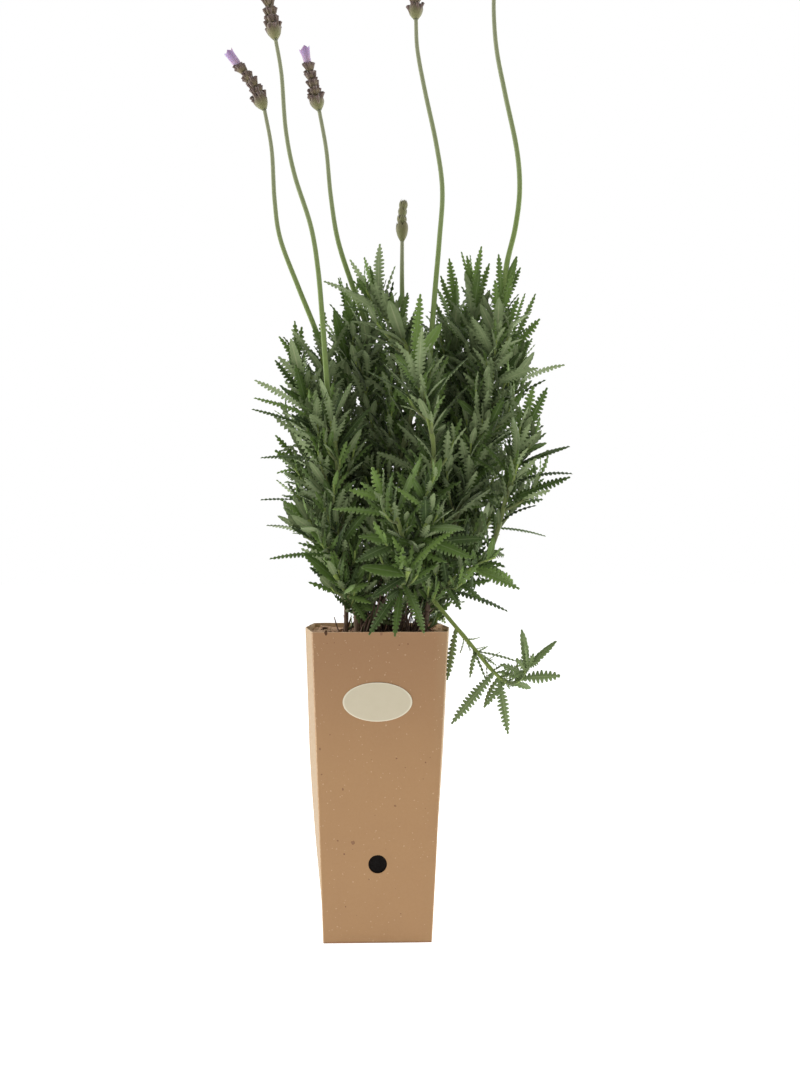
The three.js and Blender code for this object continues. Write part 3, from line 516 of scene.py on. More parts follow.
class Shell:
    """Points, triangles and quads gathered block by block. Each point carries four tones, which the
    materials read, and each face says whether it is an underside. skin is the material slot of what
    is added next."""

    def __init__(self):
        self.points, self.tones = [], []
        self.faces = {3: [], 4: []}
        self.under = {3: [], 4: []}
        self.skins = {3: [], 4: []}
        self.count = 0
        self.skin = 0

    def add(self, points, faces, tones=(0, 0, 0, 0), under=0):
        faces = np.asarray(faces, int)
        self.points.append(points)
        self.tones.append(np.broadcast_to(np.asarray(tones, float), (len(points), 4)))
        self.more(faces, self.count, under)
        self.count += len(points)

    def more(self, faces, start, under=0):
        """More faces on a block whose first point has number start."""
        sides = faces.shape[1]
        self.faces[sides].append(faces + start)
        self.under[sides].append(np.broadcast_to(np.asarray(under, float), (len(faces),)))
        self.skins[sides].append(np.full(len(faces), self.skin, np.int32))

    def mesh(self, name, crisp=None):
        """The finished mesh, in metres. Edges sharper than crisp degrees shade as edges."""
        mesh = bpy.data.meshes.new(name)
        points = np.concatenate(self.points) * MM
        kinds = [sides for sides in (3, 4) if self.faces[sides]]
        faces = [np.concatenate(self.faces[sides]) for sides in kinds]
        corners = np.concatenate([f.ravel() for f in faces])
        totals = np.concatenate([np.full(len(f), f.shape[1]) for f in faces])
        mesh.vertices.add(len(points))
        mesh.vertices.foreach_set("co", points.astype(np.float32).ravel())
        mesh.loops.add(len(corners))
        mesh.loops.foreach_set("vertex_index", corners.astype(np.int32))
        mesh.polygons.add(len(totals))
        mesh.polygons.foreach_set("loop_start", (np.cumsum(totals) - totals).astype(np.int32))
        mesh.polygons.foreach_set("use_smooth", np.ones(len(totals), bool))
        skins = np.concatenate([np.concatenate(self.skins[sides]) for sides in kinds])
        mesh.polygons.foreach_set("material_index", skins)
        mesh.update(calc_edges=True)
        tones = mesh.attributes.new("tones", "FLOAT_COLOR", "POINT")
        tones.data.foreach_set("color", np.concatenate(self.tones).astype(np.float32).ravel())
        under = mesh.attributes.new("underside", "FLOAT", "FACE")
        marks = np.concatenate([np.concatenate(self.under[sides]) for sides in kinds])
        under.data.foreach_set("value", marks.astype(np.float32))
        if crisp is not None:
            mesh.set_sharp_from_angle(angle=math.radians(crisp))
        return mesh


def grid_quads(rows, columns, closed):
    """Quads of a grid whose point (row i, column j) has number i * columns + j. In a closed grid
    the last column joins the first."""
    i, j = np.meshgrid(np.arange(rows - 1), np.arange(columns - (not closed)), indexing="ij")
    k = (j + 1) % columns
    quads = [i * columns + j, i * columns + k, (i + 1) * columns + k, (i + 1) * columns + j]
    return np.stack(quads, axis=-1).reshape(-1, 4)


def fans(rows, columns):
    """Triangles that close both ends of a closed grid, from two poles numbered after its points."""
    j = np.arange(columns)
    k = (j + 1) % columns
    low, high, last = rows * columns, rows * columns + 1, (rows - 1) * columns
    first = np.stack([np.full(columns, low), k, j], axis=-1)
    return np.vstack([first, np.stack([np.full(columns, high), last + j, last + k], axis=-1)])


def add_closed(shell, rings, tones=(0, 0, 0, 0), poles=None):
    """A closed body from rings of points, shape (rows, columns, 3), each end closed at its middle
    or at a given pole."""
    rows, columns, _ = rings.shape
    ends = [rings[0].mean(axis=0), rings[-1].mean(axis=0)] if poles is None else poles
    tones = np.asarray(tones, float)
    if tones.ndim == 3:
        ends_tones = np.stack([tones[0, 0], tones[-1, 0]])
        tones = np.vstack([tones.reshape(-1, 4), ends_tones])
    start = shell.count
    shell.add(np.vstack([rings.reshape(-1, 3), ends]), grid_quads(rows, columns, True), tones)
    shell.more(fans(rows, columns), start)


def add_stem(shell, route, radii, steps, section, tones, lumps=0, knots=(), bark=0, seed=0):
    """A stem along a route. Its section is a circle pressed towards a square whose corners lie at
    the given radius, with a groove along each face. Each of its first tones runs from one value to
    another. It swells at the knots, which are distances along it, and its surface wanders by the
    bark's share of the radius."""
    squareness, groove = section
    t = np.linspace(0, 1, steps + 1)
    _, side, back = route.axes(t)
    sides = 12
    angle = 2 * np.pi * (np.arange(sides) + 0.5) / sides + np.pi / 4
    power = 2 + 6 * squareness
    outline = (np.abs(np.cos(angle)) ** power + np.abs(np.sin(angle)) ** power) ** (-1 / power)
    outline *= (1 - groove * np.cos(4 * angle)) / outline.max()
    radius = radii[0] + (radii[1] - radii[0]) * t
    distance = t * route.length
    for knot in knots:
        radius = radius * (1 + lumps * np.exp(-(((distance - knot) / 1.4) ** 2)))
    reach = radius[:, None] * outline[None, :]
    centre = route.at(t)[:, None]
    flat = side[:, None] * np.cos(angle)[:, None] + back[:, None] * np.sin(angle)[:, None]
    rings = centre + flat * reach[..., None]
    if bark:
        rough = rumple(rings.reshape(-1, 3) * [1, 1, 0.35], 2.6, seed).reshape(reach.shape)
        rings = centre + flat * (reach * (1 + bark * rough))[..., None]
    values = np.zeros((steps + 1, sides, 4))
    for channel, (low, high) in enumerate(tones):
        values[..., channel] = (low + (high - low) * t)[:, None]
    add_closed(shell, rings, values)


# ---- leaves ----------------------------------------------------------------------------------


def on_blade(leaf, s, across, lift):
    """Points on a blade at a share s of its length, a distance across, a height above it. The rib
    is an arc that bends down by leaf["bend"] over its length, and the blade turns about it by
    twist."""
    angle = leaf["bend"] * s
    reach = leaf["length"] * np.sin(angle) / leaf["bend"]
    drop = leaf["length"] * (1 - np.cos(angle)) / leaf["bend"]
    turn = leaf["twist"] * s
    across, lift = (
        across * np.cos(turn) - lift * np.sin(turn),
        across * np.sin(turn) + lift * np.cos(turn),
    )
    return (
        leaf["root"]
        + (reach + lift * np.sin(angle))[:, None] * leaf["ahead"]
        + (lift * np.cos(angle) - drop)[:, None] * leaf["up"]
        + across[:, None] * leaf["wide"]
    )


def half_width(leaf, s):
    """Half the width at a share s of the length: half a sine wave with its peak a little past the
    middle, filled out by a power of 0.6, and a narrow foot that fades towards the tip."""
    arch = np.sin(np.pi * np.minimum(s, 1) ** 1.12) ** 0.6
    return leaf["width"] / 2 * (0.16 * (1 - s) + arch)


TOOTH_FACES = {}


def tooth_faces(teeth, fingered):
    """Triangles of a blade with that many teeth a side. Points: rib above, rib below (one at each
    notch), then for each side notches, tooth middles, tooth backs and, if fingered, fronts."""
    if (teeth, fingered) in TOOTH_FACES:
        return TOOTH_FACES[teeth, fingered]
    j = np.arange(teeth)
    above, below = j, teeth + j
    tip = 2 * teeth
    side_size = teeth * (4 if fingered else 3)
    top, bottom = [], []
    for hand in (0, 1):
        first = tip + 1 + hand * side_size
        notch, middle, rear = first + j, first + teeth + j, first + 2 * teeth + j
        front = first + 3 * teeth + j if fingered else rear
        ahead_notch = np.append(notch[1:], tip)
        ahead_above = np.append(above[1:], tip)
        ahead_below = np.append(below[1:], tip)
        upper = [
            (above, ahead_above, middle), (above, middle, notch),
            (ahead_above, ahead_notch, middle), (notch, middle, rear),
            (middle, front, rear), (middle, ahead_notch, front),
        ]
        lower = [
            (below, notch, ahead_notch), (below, ahead_notch, ahead_below),
            (notch, rear, ahead_notch), (rear, front, ahead_notch),
        ]
        for group, faces in ((top, upper), (bottom, lower)):
            for face in faces:
                group.append(np.stack(face if hand == 0 else face[::-1], axis=-1))
    left, right = tip + 1, tip + 1 + side_size
    foot = np.array([[0, left, teeth], [0, teeth, right]])
    top, bottom = np.vstack(top), np.vstack([*bottom, foot])

    # without fronts, some triangles have no area
    top, bottom = (part[(part != np.roll(part, 1, axis=1)).all(axis=1)] for part in (top, bottom))
    faces = np.vstack([top, bottom]), np.repeat([0.0, 1.0], [len(top), len(bottom)])
    TOOTH_FACES[teeth, fingered] = faces
    return faces


def add_leaf(shell, leaf, sizes):
    """A comb-toothed blade: a sunken rib between two raised quilts, teeth that slant forwards and
    droop at the margin, and a pale rib below."""
    fingered = leaf["fingered"]
    pitch = sizes.tooth_pitch / MM * (1 if fingered else 1.25)
    teeth = int(np.clip(round(leaf["length"] / pitch), 5, 16))
    random = np.random.default_rng(int(abs(leaf["root"][0] * 97 + leaf["root"][2] * 131 + teeth)))
    start = 0.05
    notch_s = start + (1 - start) * np.arange(teeth) / teeth
    notch_s[0] = 0
    step = (1 - start) / teeth
    tip_s = start + step * (np.arange(teeth) + 0.66) + step * random.uniform(-0.08, 0.08, teeth)
    points_s = [notch_s, notch_s, np.ones(1)]
    points_x = [np.zeros(teeth), np.zeros(teeth), np.zeros(1)]
    thick = 0.32 * min(1, leaf["length"] / 26)
    points_z = [np.full(teeth, thick * 0.9), np.full(teeth, -thick * 0.8), np.zeros(1)]
    edge = [np.zeros(teeth), np.zeros(teeth), np.ones(1)]
    for hand in (1, -1):
        ragged = 1 + random.uniform(-0.09, 0.09, teeth)
        tip_half = np.maximum(half_width(leaf, tip_s) * ragged, 0.75 * thick)
        least = 0.7 * min(1, leaf["width"] / 5)
        notch_half = np.maximum(half_width(leaf, notch_s) * leaf["notch"], least)
        middle_s = start + step * (np.arange(teeth) + 0.55)
        middle_half = half_width(leaf, middle_s) * (0.3 + 0.3 * leaf["notch"])
        points_s += [notch_s, middle_s, tip_s - 0.2 * step]
        points_x += [hand * notch_half, hand * middle_half, hand * tip_half]
        roll = leaf["roll"] * leaf["width"] / 8
        points_z += [
            np.full(teeth, thick * 0.5 - 0.3 * roll),
            np.full(teeth, thick * 2.3),
            thick * 0.2 - roll * tip_half / tip_half.max(),
        ]
        edge += [np.full(teeth, 0.5), np.full(teeth, 0.35), np.ones(teeth)]
        if fingered:
            points_s.append(np.minimum(tip_s + 0.17 * step, 0.995))
            points_x.append(hand * tip_half * 0.97)
            points_z.append(points_z[-1])
            edge.append(np.ones(teeth))
    s, x, z, v = (np.concatenate(part) for part in (points_s, points_x, points_z, edge))
    faces, under = tooth_faces(teeth, fingered)
    tones = np.stack([s, v, np.full(len(s), leaf["tint"]), np.full(len(s), leaf["age"])], axis=-1)
    shell.add(on_blade(leaf, s, x, z), faces, tones, np.maximum(under, leaf.get("woolly", 0)))


def finish_leaf(leaf, random, fingered=True, age=0.0):
    """The particulars that the solids leave out: how the blade is toothed, twisted and coloured."""
    broad = leaf["width"] / leaf["length"] > 0.215
    blunt = random.random() < (0.25 if broad else 0.08)
    leaf["twist"] = math.radians(random.uniform(-22, 22))
    if blunt:
        leaf["notch"] = random.uniform(0.7, 0.82)
    else:
        leaf["notch"] = random.uniform(0.3, 0.43) - (0 if fingered else 0.1)
    leaf["roll"] = random.uniform(0.5, 1.1)
    leaf["tint"] = random.random()
    leaf["age"] = age
    leaf["fingered"] = fingered
    return leaf


def pair_leaf(shoot, pair, side, bend_by):
    """A leaf of the solids' own rule: each pair is turned a quarter from the last, and spreads and
    arches further down the stem."""
    turn, lift, shorter = bend_by
    draw = draws(7919 * shoot["number"] + 131 * pair + 17 * side + 1)
    length = LEAF_LENGTH[min(pair, 4)] * (0.9 + 0.22 * next(draw))
    around = math.radians(shoot["turn"] + 90 * pair + 180 * side + 24 * (next(draw) - 0.5) + turn)
    pitch = math.radians(15 + 10 * pair + 14 * (next(draw) - 0.5) + lift + shoot["spread"])
    bend = math.radians(min(46, 8 + 11 * pair) + 18 * (next(draw) - 0.5))
    roll = math.radians(70 * (next(draw) - 0.5))
    t = 1 - (TIP_GAP + PAIR_SPACING * pair) / shoot["route"].length
    leaf = leaf_from(shoot["route"], t, around, pitch, bend, roll)
    leaf["length"], leaf["width"] = length * shorter, length * PLAIN_WIDTH
    return leaf


def leaf_from(route, t, around, pitch, bend, roll, rise=0):
    """A leaf that leaves the stem at t, turned around it, and pitched away from it. rise lifts it
    towards the upright."""
    along, across, back = route.axes(t)
    outwards = across * math.cos(around) + back * math.sin(around)
    ahead = unit(along * math.cos(pitch) + outwards * math.sin(pitch) + np.array([0, 0, rise]))
    up = unit(along - ahead * (along @ ahead))
    up = up * math.cos(roll) + np.cross(up, ahead) * math.sin(roll)
    return dict(root=route.at(t), ahead=ahead, up=up, wide=np.cross(up, ahead), bend=bend)


def tip_leaf(shoot, chosen, bend_by):
    """A leaf placed by its tip. facing turns its upper side from the front upwards."""
    t, tip, width, facing, bend = chosen
    shift, shorter = bend_by
    root = shoot["route"].at(t)
    chord = (np.array(tip) + [0, shift, 0] - root) * shorter
    straight = unit(chord)
    front = unit(np.array([0, -1, 0]) + straight * straight[1])
    top = np.cross(straight, front)
    top = -top if top[2] < 0 else top
    facing, bend = math.radians(facing), math.radians(bend)
    face = front * math.cos(facing) + top * math.sin(facing)
    ahead = straight * math.cos(bend / 2) + face * math.sin(bend / 2)
    up = face * math.cos(bend / 2) - straight * math.sin(bend / 2)
    length = np.linalg.norm(chord) * (bend / 2) / math.sin(bend / 2)
    wide = np.cross(up, ahead)
    return dict(root=root, ahead=ahead, up=up, wide=wide, length=length, width=width, bend=bend)


def tip_of(leaf):
    """The end of the leaf's rib."""
    leaf = dict(leaf, twist=0)
    return on_blade(leaf, np.ones(1), np.zeros(1), np.zeros(1))[0]


def solid_of(shoot):
    """The name of the shoot's solid."""
    return f"leafy_shoot_{shoot['number']:02}"


def corners_of(node):
    """A solid's corner points, in millimetres."""
    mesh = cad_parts[node].data
    points = np.zeros(len(mesh.vertices) * 3, np.float32)
    mesh.vertices.foreach_get("co", points)
    return points.reshape(-1, 3) / MM


def as_built(corners, bends, make, *facts):
    """The leaf at the bend that the solids kept, found by its tip among the solid's corners, or
    None where they left the leaf out."""
    for bend_by in bends:
        leaf = make(*facts, bend_by)
        if np.abs(corners - tip_of(leaf)).max(axis=1).min() < SAME_TIP:
            return leaf
    return None


class Thicket:
    """The places that leaves take up: points along their ribs, sorted into cubes of that room."""

    LEVEL = 16  # leaves this near to a point's height count as level with it
    WIDEST_GAP = 2.2  # in radians, between the leaves around a point inside the bush
    SHARES = np.array([0.3, 0.5, 0.75, 1.0])
    AROUND = [(i, j, k) for i in (-1, 0, 1) for j in (-1, 0, 1) for k in (-1, 0, 1)]

    def __init__(self, room):
        self.room = room
        self.taken = {}
        self.outline = None

    def ribs(self, leaf):
        straight = dict(leaf, twist=0)
        return on_blade(straight, self.SHARES, np.zeros(4), np.zeros(4))

    def cube(self, point, shift=(0, 0, 0)):
        return tuple(math.floor(x / self.room) + step for x, step in zip(point, shift))

    def take(self, leaf):
        for point in self.ribs(leaf):
            self.taken.setdefault(self.cube(point), []).append(point)

    def close_outline(self):
        """From here on, what has been taken so far is the bush's outline."""
        self.outline = np.array([point for cube in self.taken.values() for point in cube])

    def is_free(self, leaf):
        for point in self.ribs(leaf):
            for shift in self.AROUND:
                for other in self.taken.get(self.cube(point, shift), ()):
                    if math.dist(point, other) < self.room:
                        return False
        return True

    def holds(self, point, near, least=4):
        """True if enough of the solids' leaves lie near the point, or if they lie on all sides of
        it at its height, so that it is inside the bush."""
        away = self.outline - point
        if (np.linalg.norm(away, axis=-1) < near).sum() >= least:
            return True
        level = away[np.abs(away[:, 2]) < self.LEVEL]
        turns = np.sort(np.arctan2(level[:, 1], level[:, 0]))
        if len(turns) <= 8:
            return False
        return np.diff(turns, append=turns[0] + 2 * np.pi).max() < self.WIDEST_GAP


def solid_leaves(shoot):
    """The leaves that the shoot's solid has, at the bends that it kept."""
    corners = corners_of(solid_of(shoot))
    random = np.random.default_rng(LEAF_SEED + shoot["number"])
    found = []
    for chosen in shoot.get("leaves", ()):
        leaf = as_built(corners, TIP_BENDS, tip_leaf, shoot, chosen)
        if leaf:
            found.append(finish_leaf(leaf, random, age=max(0, chosen[0] - 0.9) * 7))
    for pair in range(*shoot["pairs"]):
        if TIP_GAP + PAIR_SPACING * pair >= shoot["route"].length - 12:
            continue
        for side in (0, 1):
            leaf = as_built(corners, PAIR_BENDS, pair_leaf, shoot, pair, side)
            if leaf:
                found.append(finish_leaf(leaf, random, age=max(0, 0.6 - 0.3 * pair)))
    return found


def small_leaf(route, distance, around, pitch, length, random, age):
    """A leaf at a distance from the stem's tip. Its bend, its roll and how broad it is for its
    length are drawn at random, and it leans towards the upright."""
    t = max(0.0, 1 - distance / route.length)
    bend = math.radians(random.uniform(6, 40))
    roll = math.radians(random.uniform(-38, 38))
    leaf = leaf_from(route, t, math.radians(around), math.radians(pitch), bend, roll, rise=0.42)
    leaf["length"] = length
    leaf["width"] = 1.2 + length * random.uniform(0.17, 0.26)
    return finish_leaf(leaf, random, fingered=False, age=age)


def grow_between(route, turn, thicket, sizes, random, longest, from_tip, to_base, near):
    """Leaves between and beside the solids' pairs, opposite each other, each pair turned a quarter
    from the last. A leaf that finds no free room is turned a little, and at last left out. The
    youngest may stand out a little from the others."""
    grown = []
    for step, distance in enumerate(np.arange(from_tip, to_base, sizes.leaf_spacing / MM)):
        share = min(1, distance / 30)
        for side in range(4):
            beside = side > 1
            if beside and random.random() > sizes.axil_share:
                continue
            length = longest * (0.62 + 0.38 * share) * random.uniform(0.72, 1.08)
            length *= 0.62 if beside else 1
            around = turn + 45 + 90 * step + 180 * side + (40 if beside else 0)
            for attempt in range(5):
                leaf = small_leaf(
                    route,
                    distance + random.uniform(-1.5, 1.5),
                    around + random.uniform(-32, 32),
                    12 + 30 * share + random.uniform(-8, 14),
                    length * (1 - 0.09 * attempt),
                    random,
                    age=max(0, 0.5 - share),
                )
                fits = thicket.holds(tip_of(leaf), near, least=4 if distance > 14 else 2)
                if fits and thicket.is_free(leaf):
                    thicket.take(leaf)
                    grown.append(leaf)
                    break
    return grown


def twig_from(route, distance, around, pitch, length):
    """A short side shoot: it leaves the stem at a slant and then turns upwards."""
    t = 1 - distance / route.length
    along, across, back = route.axes(t)
    around, pitch = math.radians(around), math.radians(pitch)
    outwards = across * math.cos(around) + back * math.sin(around)
    start = route.at(t)
    first = along * math.cos(pitch) + outwards * math.sin(pitch)
    second = unit(first + along * 0.5 + np.array([0, 0, 0.5]))
    middle = start + first * length * 0.5
    return Route([start, middle, middle + second * length * 0.5])


# ---- materials -------------------------------------------------------------------------------


def linear(red, green, blue):
    """A colour as seen on screen, 0 to 255, as the light it reflects, 0 to 1."""
    seen = (channel / 255 for channel in (red, green, blue))
    return tuple(c / 12.92 if c <= 0.04045 else ((c + 0.055) / 1.055) ** 2.4 for c in seen)


class Nodes:
    """A node tree being built. The value of an input is a number, a vector, a colour or another
    node's socket."""

    def __init__(self, tree):
        self.tree = tree

    def join(self, value, socket):
        if isinstance(value, bpy.types.NodeSocket):
            self.tree.links.new(value, socket)
        else:
            socket.default_value = value

    def add(self, kind, inputs=None, **settings):
        """A node with its settings and its inputs."""
        node = self.tree.nodes.new(kind)
        for key, value in settings.items():
            setattr(node, key, value)
        for key, value in (inputs or {}).items():
            self.join(value, node.inputs[key])
        return node

    def calc(self, operation, first, second):
        return self.add("ShaderNodeMath", {0: first, 1: second}, operation=operation).outputs[0]

    def times(self, first, second):
        return self.calc("MULTIPLY", first, second)

    def ramp(self, value, low, high, to_low=0.0, to_high=1.0):
        """value from low to high, smoothly, as to_low to to_high."""
        inputs = {"Value": value, 1: low, 2: high, 3: to_low, 4: to_high}
        node = self.add("ShaderNodeMapRange", inputs, interpolation_type="SMOOTHSTEP")
        return node.outputs["Result"]

    def blend(self, share, first, second):
        """Two colours mixed by a share. Each is a socket or RGB."""
        node = self.add("ShaderNodeMix", {0: share}, data_type="RGBA")
        for socket, colour in ((node.inputs[6], first), (node.inputs[7], second)):
            is_socket = isinstance(colour, bpy.types.NodeSocket)
            self.join(colour if is_socket else (*colour, 1.0), socket)
        return node.outputs[2]


def make_group(name, defaults, output):
    """An empty node group: a place and numbers with defaults go in, and one number comes out."""
    tree = bpy.data.node_groups.new(name, "ShaderNodeTree")
    add_socket = tree.interface.new_socket
    add_socket(name="Vector", in_out="INPUT", socket_type="NodeSocketVector")
    for label, default in defaults.items():
        socket = add_socket(name=label, in_out="INPUT", socket_type="NodeSocketFloat")
        socket.default_value = default
    add_socket(name=output, in_out="OUTPUT", socket_type="NodeSocketFloat")
    group = Nodes(tree)
    return group, group.add("NodeGroupInput").outputs, group.add("NodeGroupOutput").inputs[0]


def mottle_group():
    """Soft cloudy variation from 0 to 1. Size is the width of one cloud, in metres."""
    group, source, result = make_group("Mottle", {"Size": 0.01, "Contrast": 1.0}, "Value")
    scale = group.calc("DIVIDE", 1.0, source["Size"])
    inputs = {"Vector": source["Vector"], "Scale": scale, "Detail": 3.0, "Roughness": 0.6}
    noise = group.add("ShaderNodeTexNoise", inputs)
    spread = group.calc("DIVIDE", 0.28, source["Contrast"])
    low, high = group.calc("SUBTRACT", 0.5, spread), group.calc("ADD", 0.5, spread)
    group.join(group.ramp(noise.outputs["Fac"], low, high), result)
    return group.tree


def flecks_group():
    """Scattered flecks: 1 inside a fleck and 0 elsewhere. Size is the spacing of the cells that may
    hold one, in metres, Share the share of cells that do, and Radius a fleck's radius as a share of
    its cell."""
    defaults = {"Size": 0.004, "Share": 0.2, "Radius": 0.2}
    group, source, result = make_group("Flecks", defaults, "Mask")
    scale = group.calc("DIVIDE", 1.0, source["Size"])
    # turned, so that no flat panel runs along the layers of cells
    inputs = {"Vector": source["Vector"], "Rotation": (0.6, 0.9, 0.3)}
    turned = group.add("ShaderNodeMapping", inputs).outputs[0]
    cells = group.add("ShaderNodeTexVoronoi", {"Vector": turned, "Scale": scale}).outputs
    luck = group.add("ShaderNodeSeparateColor", {"Color": cells["Color"]}).outputs
    has_one = group.calc("LESS_THAN", luck["Red"], source["Share"])
    radius = group.times(source["Radius"], luck["Green"])
    inside = group.calc("LESS_THAN", cells["Distance"], radius)
    group.join(group.times(has_one, inside), result)
    return group.tree


def felt_group():
    """Height of a short felt of hairs, or of paper fibres. Size is a hair's spacing, in metres."""
    group, source, result = make_group("Felt", {"Size": 0.0006}, "Height")
    scale = group.calc("DIVIDE", 1.0, source["Size"])
    inputs = {"Vector": source["Vector"], "Scale": scale, "Detail": 2.0, "Distortion": 1.2}
    group.join(group.add("ShaderNodeTexNoise", inputs).outputs["Fac"], result)
    return group.tree


GROUPS = {}


class Finish(Nodes):
    """A material being built, with the place on the piece and the mesh's four tones. Constants are
    the values of the Principled BSDF's own inputs."""

    def __init__(self, name, **constants):
        self.material = bpy.data.materials.new(name)
        self.material.use_nodes = True
        super().__init__(self.material.node_tree)
        self.shader = self.tree.nodes["Principled BSDF"].inputs
        for key, value in constants.items():
            self.shader[key.replace("_", " ").title().replace("Ior", "IOR")].default_value = value
        self.place = self.add("ShaderNodeTexCoord").outputs["Object"]
        tones = self.add("ShaderNodeAttribute", attribute_name="tones").outputs
        parts = self.add("ShaderNodeSeparateColor", {"Color": tones["Color"]}).outputs
        self.tones = [parts["Red"], parts["Green"], parts["Blue"], tones["Alpha"]]

    def use(self, maker, **inputs):
        """A copy of a group, which is built once, at the piece's own place or at another Vector."""
        if maker not in GROUPS:
            GROUPS[maker] = maker()
        inputs = {"Vector": self.place, **inputs}
        return self.add("ShaderNodeGroup", inputs, node_tree=GROUPS[maker]).outputs[0]

    def mottle(self, size, contrast):
        return self.use(mottle_group, Size=size, Contrast=contrast)

    def streaks(self, size, contrast, squeeze):
        """Mottle drawn out along the height."""
        inputs = {"Vector": self.place, "Scale": (1.0, 1.0, squeeze)}
        place = self.add("ShaderNodeMapping", inputs).outputs[0]
        return self.use(mottle_group, Vector=place, Size=size, Contrast=contrast)

    def felt(self, size):
        return self.use(felt_group, Size=size)

    def done(self, colour, roughness, height, depth, strength):
        """The material with its colour, its roughness from one value to another as a pattern goes
        from 0 to 1, and a bump of that depth in metres."""
        pattern, low, high = roughness
        roughness = self.ramp(pattern, 0.0, 1.0, low, high)
        inputs = {"Height": height, "Distance": depth, "Strength": strength}
        bump = self.add("ShaderNodeBump", inputs).outputs["Normal"]
        for value, key in ((colour, "Base Color"), (roughness, "Roughness"), (bump, "Normal")):
            self.join(value, self.shader[key])
        return self.material


def kraft_material(looks):
    """Flecked kraft card, darker towards the rim and along the foot as painted shade, and paler on
    the side panels and inner walls as painted light. Tones: fold, cut edge (also painted light on
    the inner walls), share of painted light, share of the height.
    """
    card = Finish("kraft card", specular_ior_level=0.5)
    fold, cut_edge_and_painted_light, painted_light_share, height = card.tones
    cloud, grain = card.mottle(0.018, 0.7), card.mottle(0.0016, 0.9)
    # darker towards the rim over the upper half of the box: painted shade from the bush above
    colour = card.blend(card.ramp(height, 0.5, 1.0), looks.kraft_bottom, looks.kraft_top)
    # paler, greyer card on the side panels and the inner walls: painted light from the lamps at the
    # sides
    colour = card.blend(painted_light_share, colour, looks.kraft_faded)
    shade = card.calc("ADD", card.times(cloud, 0.10), card.times(grain, 0.10))
    colour = card.blend(shade, colour, looks.kraft_dark)
    # a place that wanders a little, for flecks with ragged edges
    ragged = card.add("ShaderNodeTexNoise", {"Vector": card.place, "Scale": 900.0, "Detail": 1.0})
    inputs = {0: ragged.outputs["Color"], 3: 0.0011}
    shift = card.add("ShaderNodeVectorMath", inputs, operation="SCALE").outputs[0]
    inputs = {0: card.place, 1: shift}
    place = card.add("ShaderNodeVectorMath", inputs, operation="ADD").outputs[0]
    for size, share, radius, strength, tone in (
        (0.0026, 0.7, 0.2, 0.3, looks.kraft_pale),
        (0.0046, 0.32, 0.12, 0.75, looks.kraft_fleck),
        (0.012, 0.6, 0.15, 0.6, looks.kraft_fleck),
    ):
        flecks = card.use(flecks_group, Vector=place, Size=size, Share=share, Radius=radius)
        colour = card.blend(card.times(flecks, strength), colour, tone)
    worn = card.times(fold, card.ramp(grain, 0.2, 0.9, 0.15, 0.5))
    colour = card.blend(worn, colour, looks.kraft_pale)
    # pale card on the cut edge at the rim, and the same pale card on the inner walls as painted
    # light
    colour = card.blend(card.times(cut_edge_and_painted_light, 0.55), colour, looks.kraft_pale)
    # a dark line along the foot of the box: painted shade where the box meets the floor
    colour = card.blend(card.ramp(height, 0.0, 0.008, 0.6, 0.0), colour, looks.kraft_fleck)
    return card.done(colour, (grain, 0.48, 0.62), card.felt(0.0007), depth=0.00008, strength=0.35)


def label_material(looks):
    """Cream paper with a lighter cut edge. Tones: nearness to the edge."""
    paper = Finish("cream paper", specular_ior_level=0.35)
    edge = paper.tones[0]
    cloud = paper.mottle(0.006, 0.6)
    colour = paper.blend(paper.times(cloud, 0.35), looks.paper, looks.paper_shade)
    colour = paper.blend(paper.ramp(edge, 0.93, 0.985, 0.0, 0.6), colour, looks.paper_edge)
    return paper.done(colour, (cloud, 0.5, 0.62), paper.felt(0.0005), depth=0.00004, strength=0.3)


def soil_material(looks):
    """Peat and coir. Tones: tint, how far towards tan, share of painted shade on the block's sides
    against the card.
    """
    soil = Finish("peat and coir", specular_ior_level=0.2)
    tint, tan, shaded_sides, _ = soil.tones
    cloud = soil.mottle(0.0035, 1.3)
    shade = soil.calc("ADD", soil.times(cloud, 0.5), soil.times(tint, 0.5))
    colour = soil.blend(shade, looks.peat_dark, looks.peat_brown)
    colour = soil.blend(soil.times(tan, 0.9), colour, looks.coir)
    # near-black peat on the block's sides: painted shade in the gap behind the card
    colour = soil.blend(shaded_sides, colour, looks.peat_hidden)
    return soil.done(colour, (cloud, 0.85, 1.0), soil.felt(0.0011), depth=0.0006, strength=0.8)


def bark_material(looks):
    """Fissured bark, brown to purple-grey. Tones: share of the length, how far it has worn off."""
    bark = Finish("lavender bark", specular_ior_level=0.2)
    share, worn, _, _ = bark.tones
    strips, cloud = bark.streaks(0.0012, 1.5, 0.22), bark.mottle(0.009, 1.0)
    colour = bark.blend(cloud, looks.bark_brown, looks.bark_purple)
    colour = bark.blend(bark.times(strips, 0.65), colour, looks.bark_pale)
    colour = bark.blend(worn, colour, looks.bark_pale)
    colour = bark.blend(bark.ramp(share, 0.55, 1.0, 0.0, 0.5), colour, looks.shoot_base)
    return bark.done(colour, (strips, 0.95, 0.75), strips, depth=0.0004, strength=0.9)


def stem_material(name, looks, low, high):
    """Green stem, finely downy. Tones: share of the length."""
    stem = Finish(name, specular_ior_level=0.3, sheen_weight=0.25, sheen_roughness=0.5)
    streaks = stem.streaks(0.0008, 1.0, 0.15)
    colour = stem.blend(stem.ramp(stem.tones[0], 0.15, 1.0), low, high)
    colour = stem.blend(stem.times(streaks, 0.25), colour, looks.stem_pale)
    return stem.done(colour, (streaks, 0.55, 0.75), stem.felt(0.0004), depth=0.00012, strength=0.5)


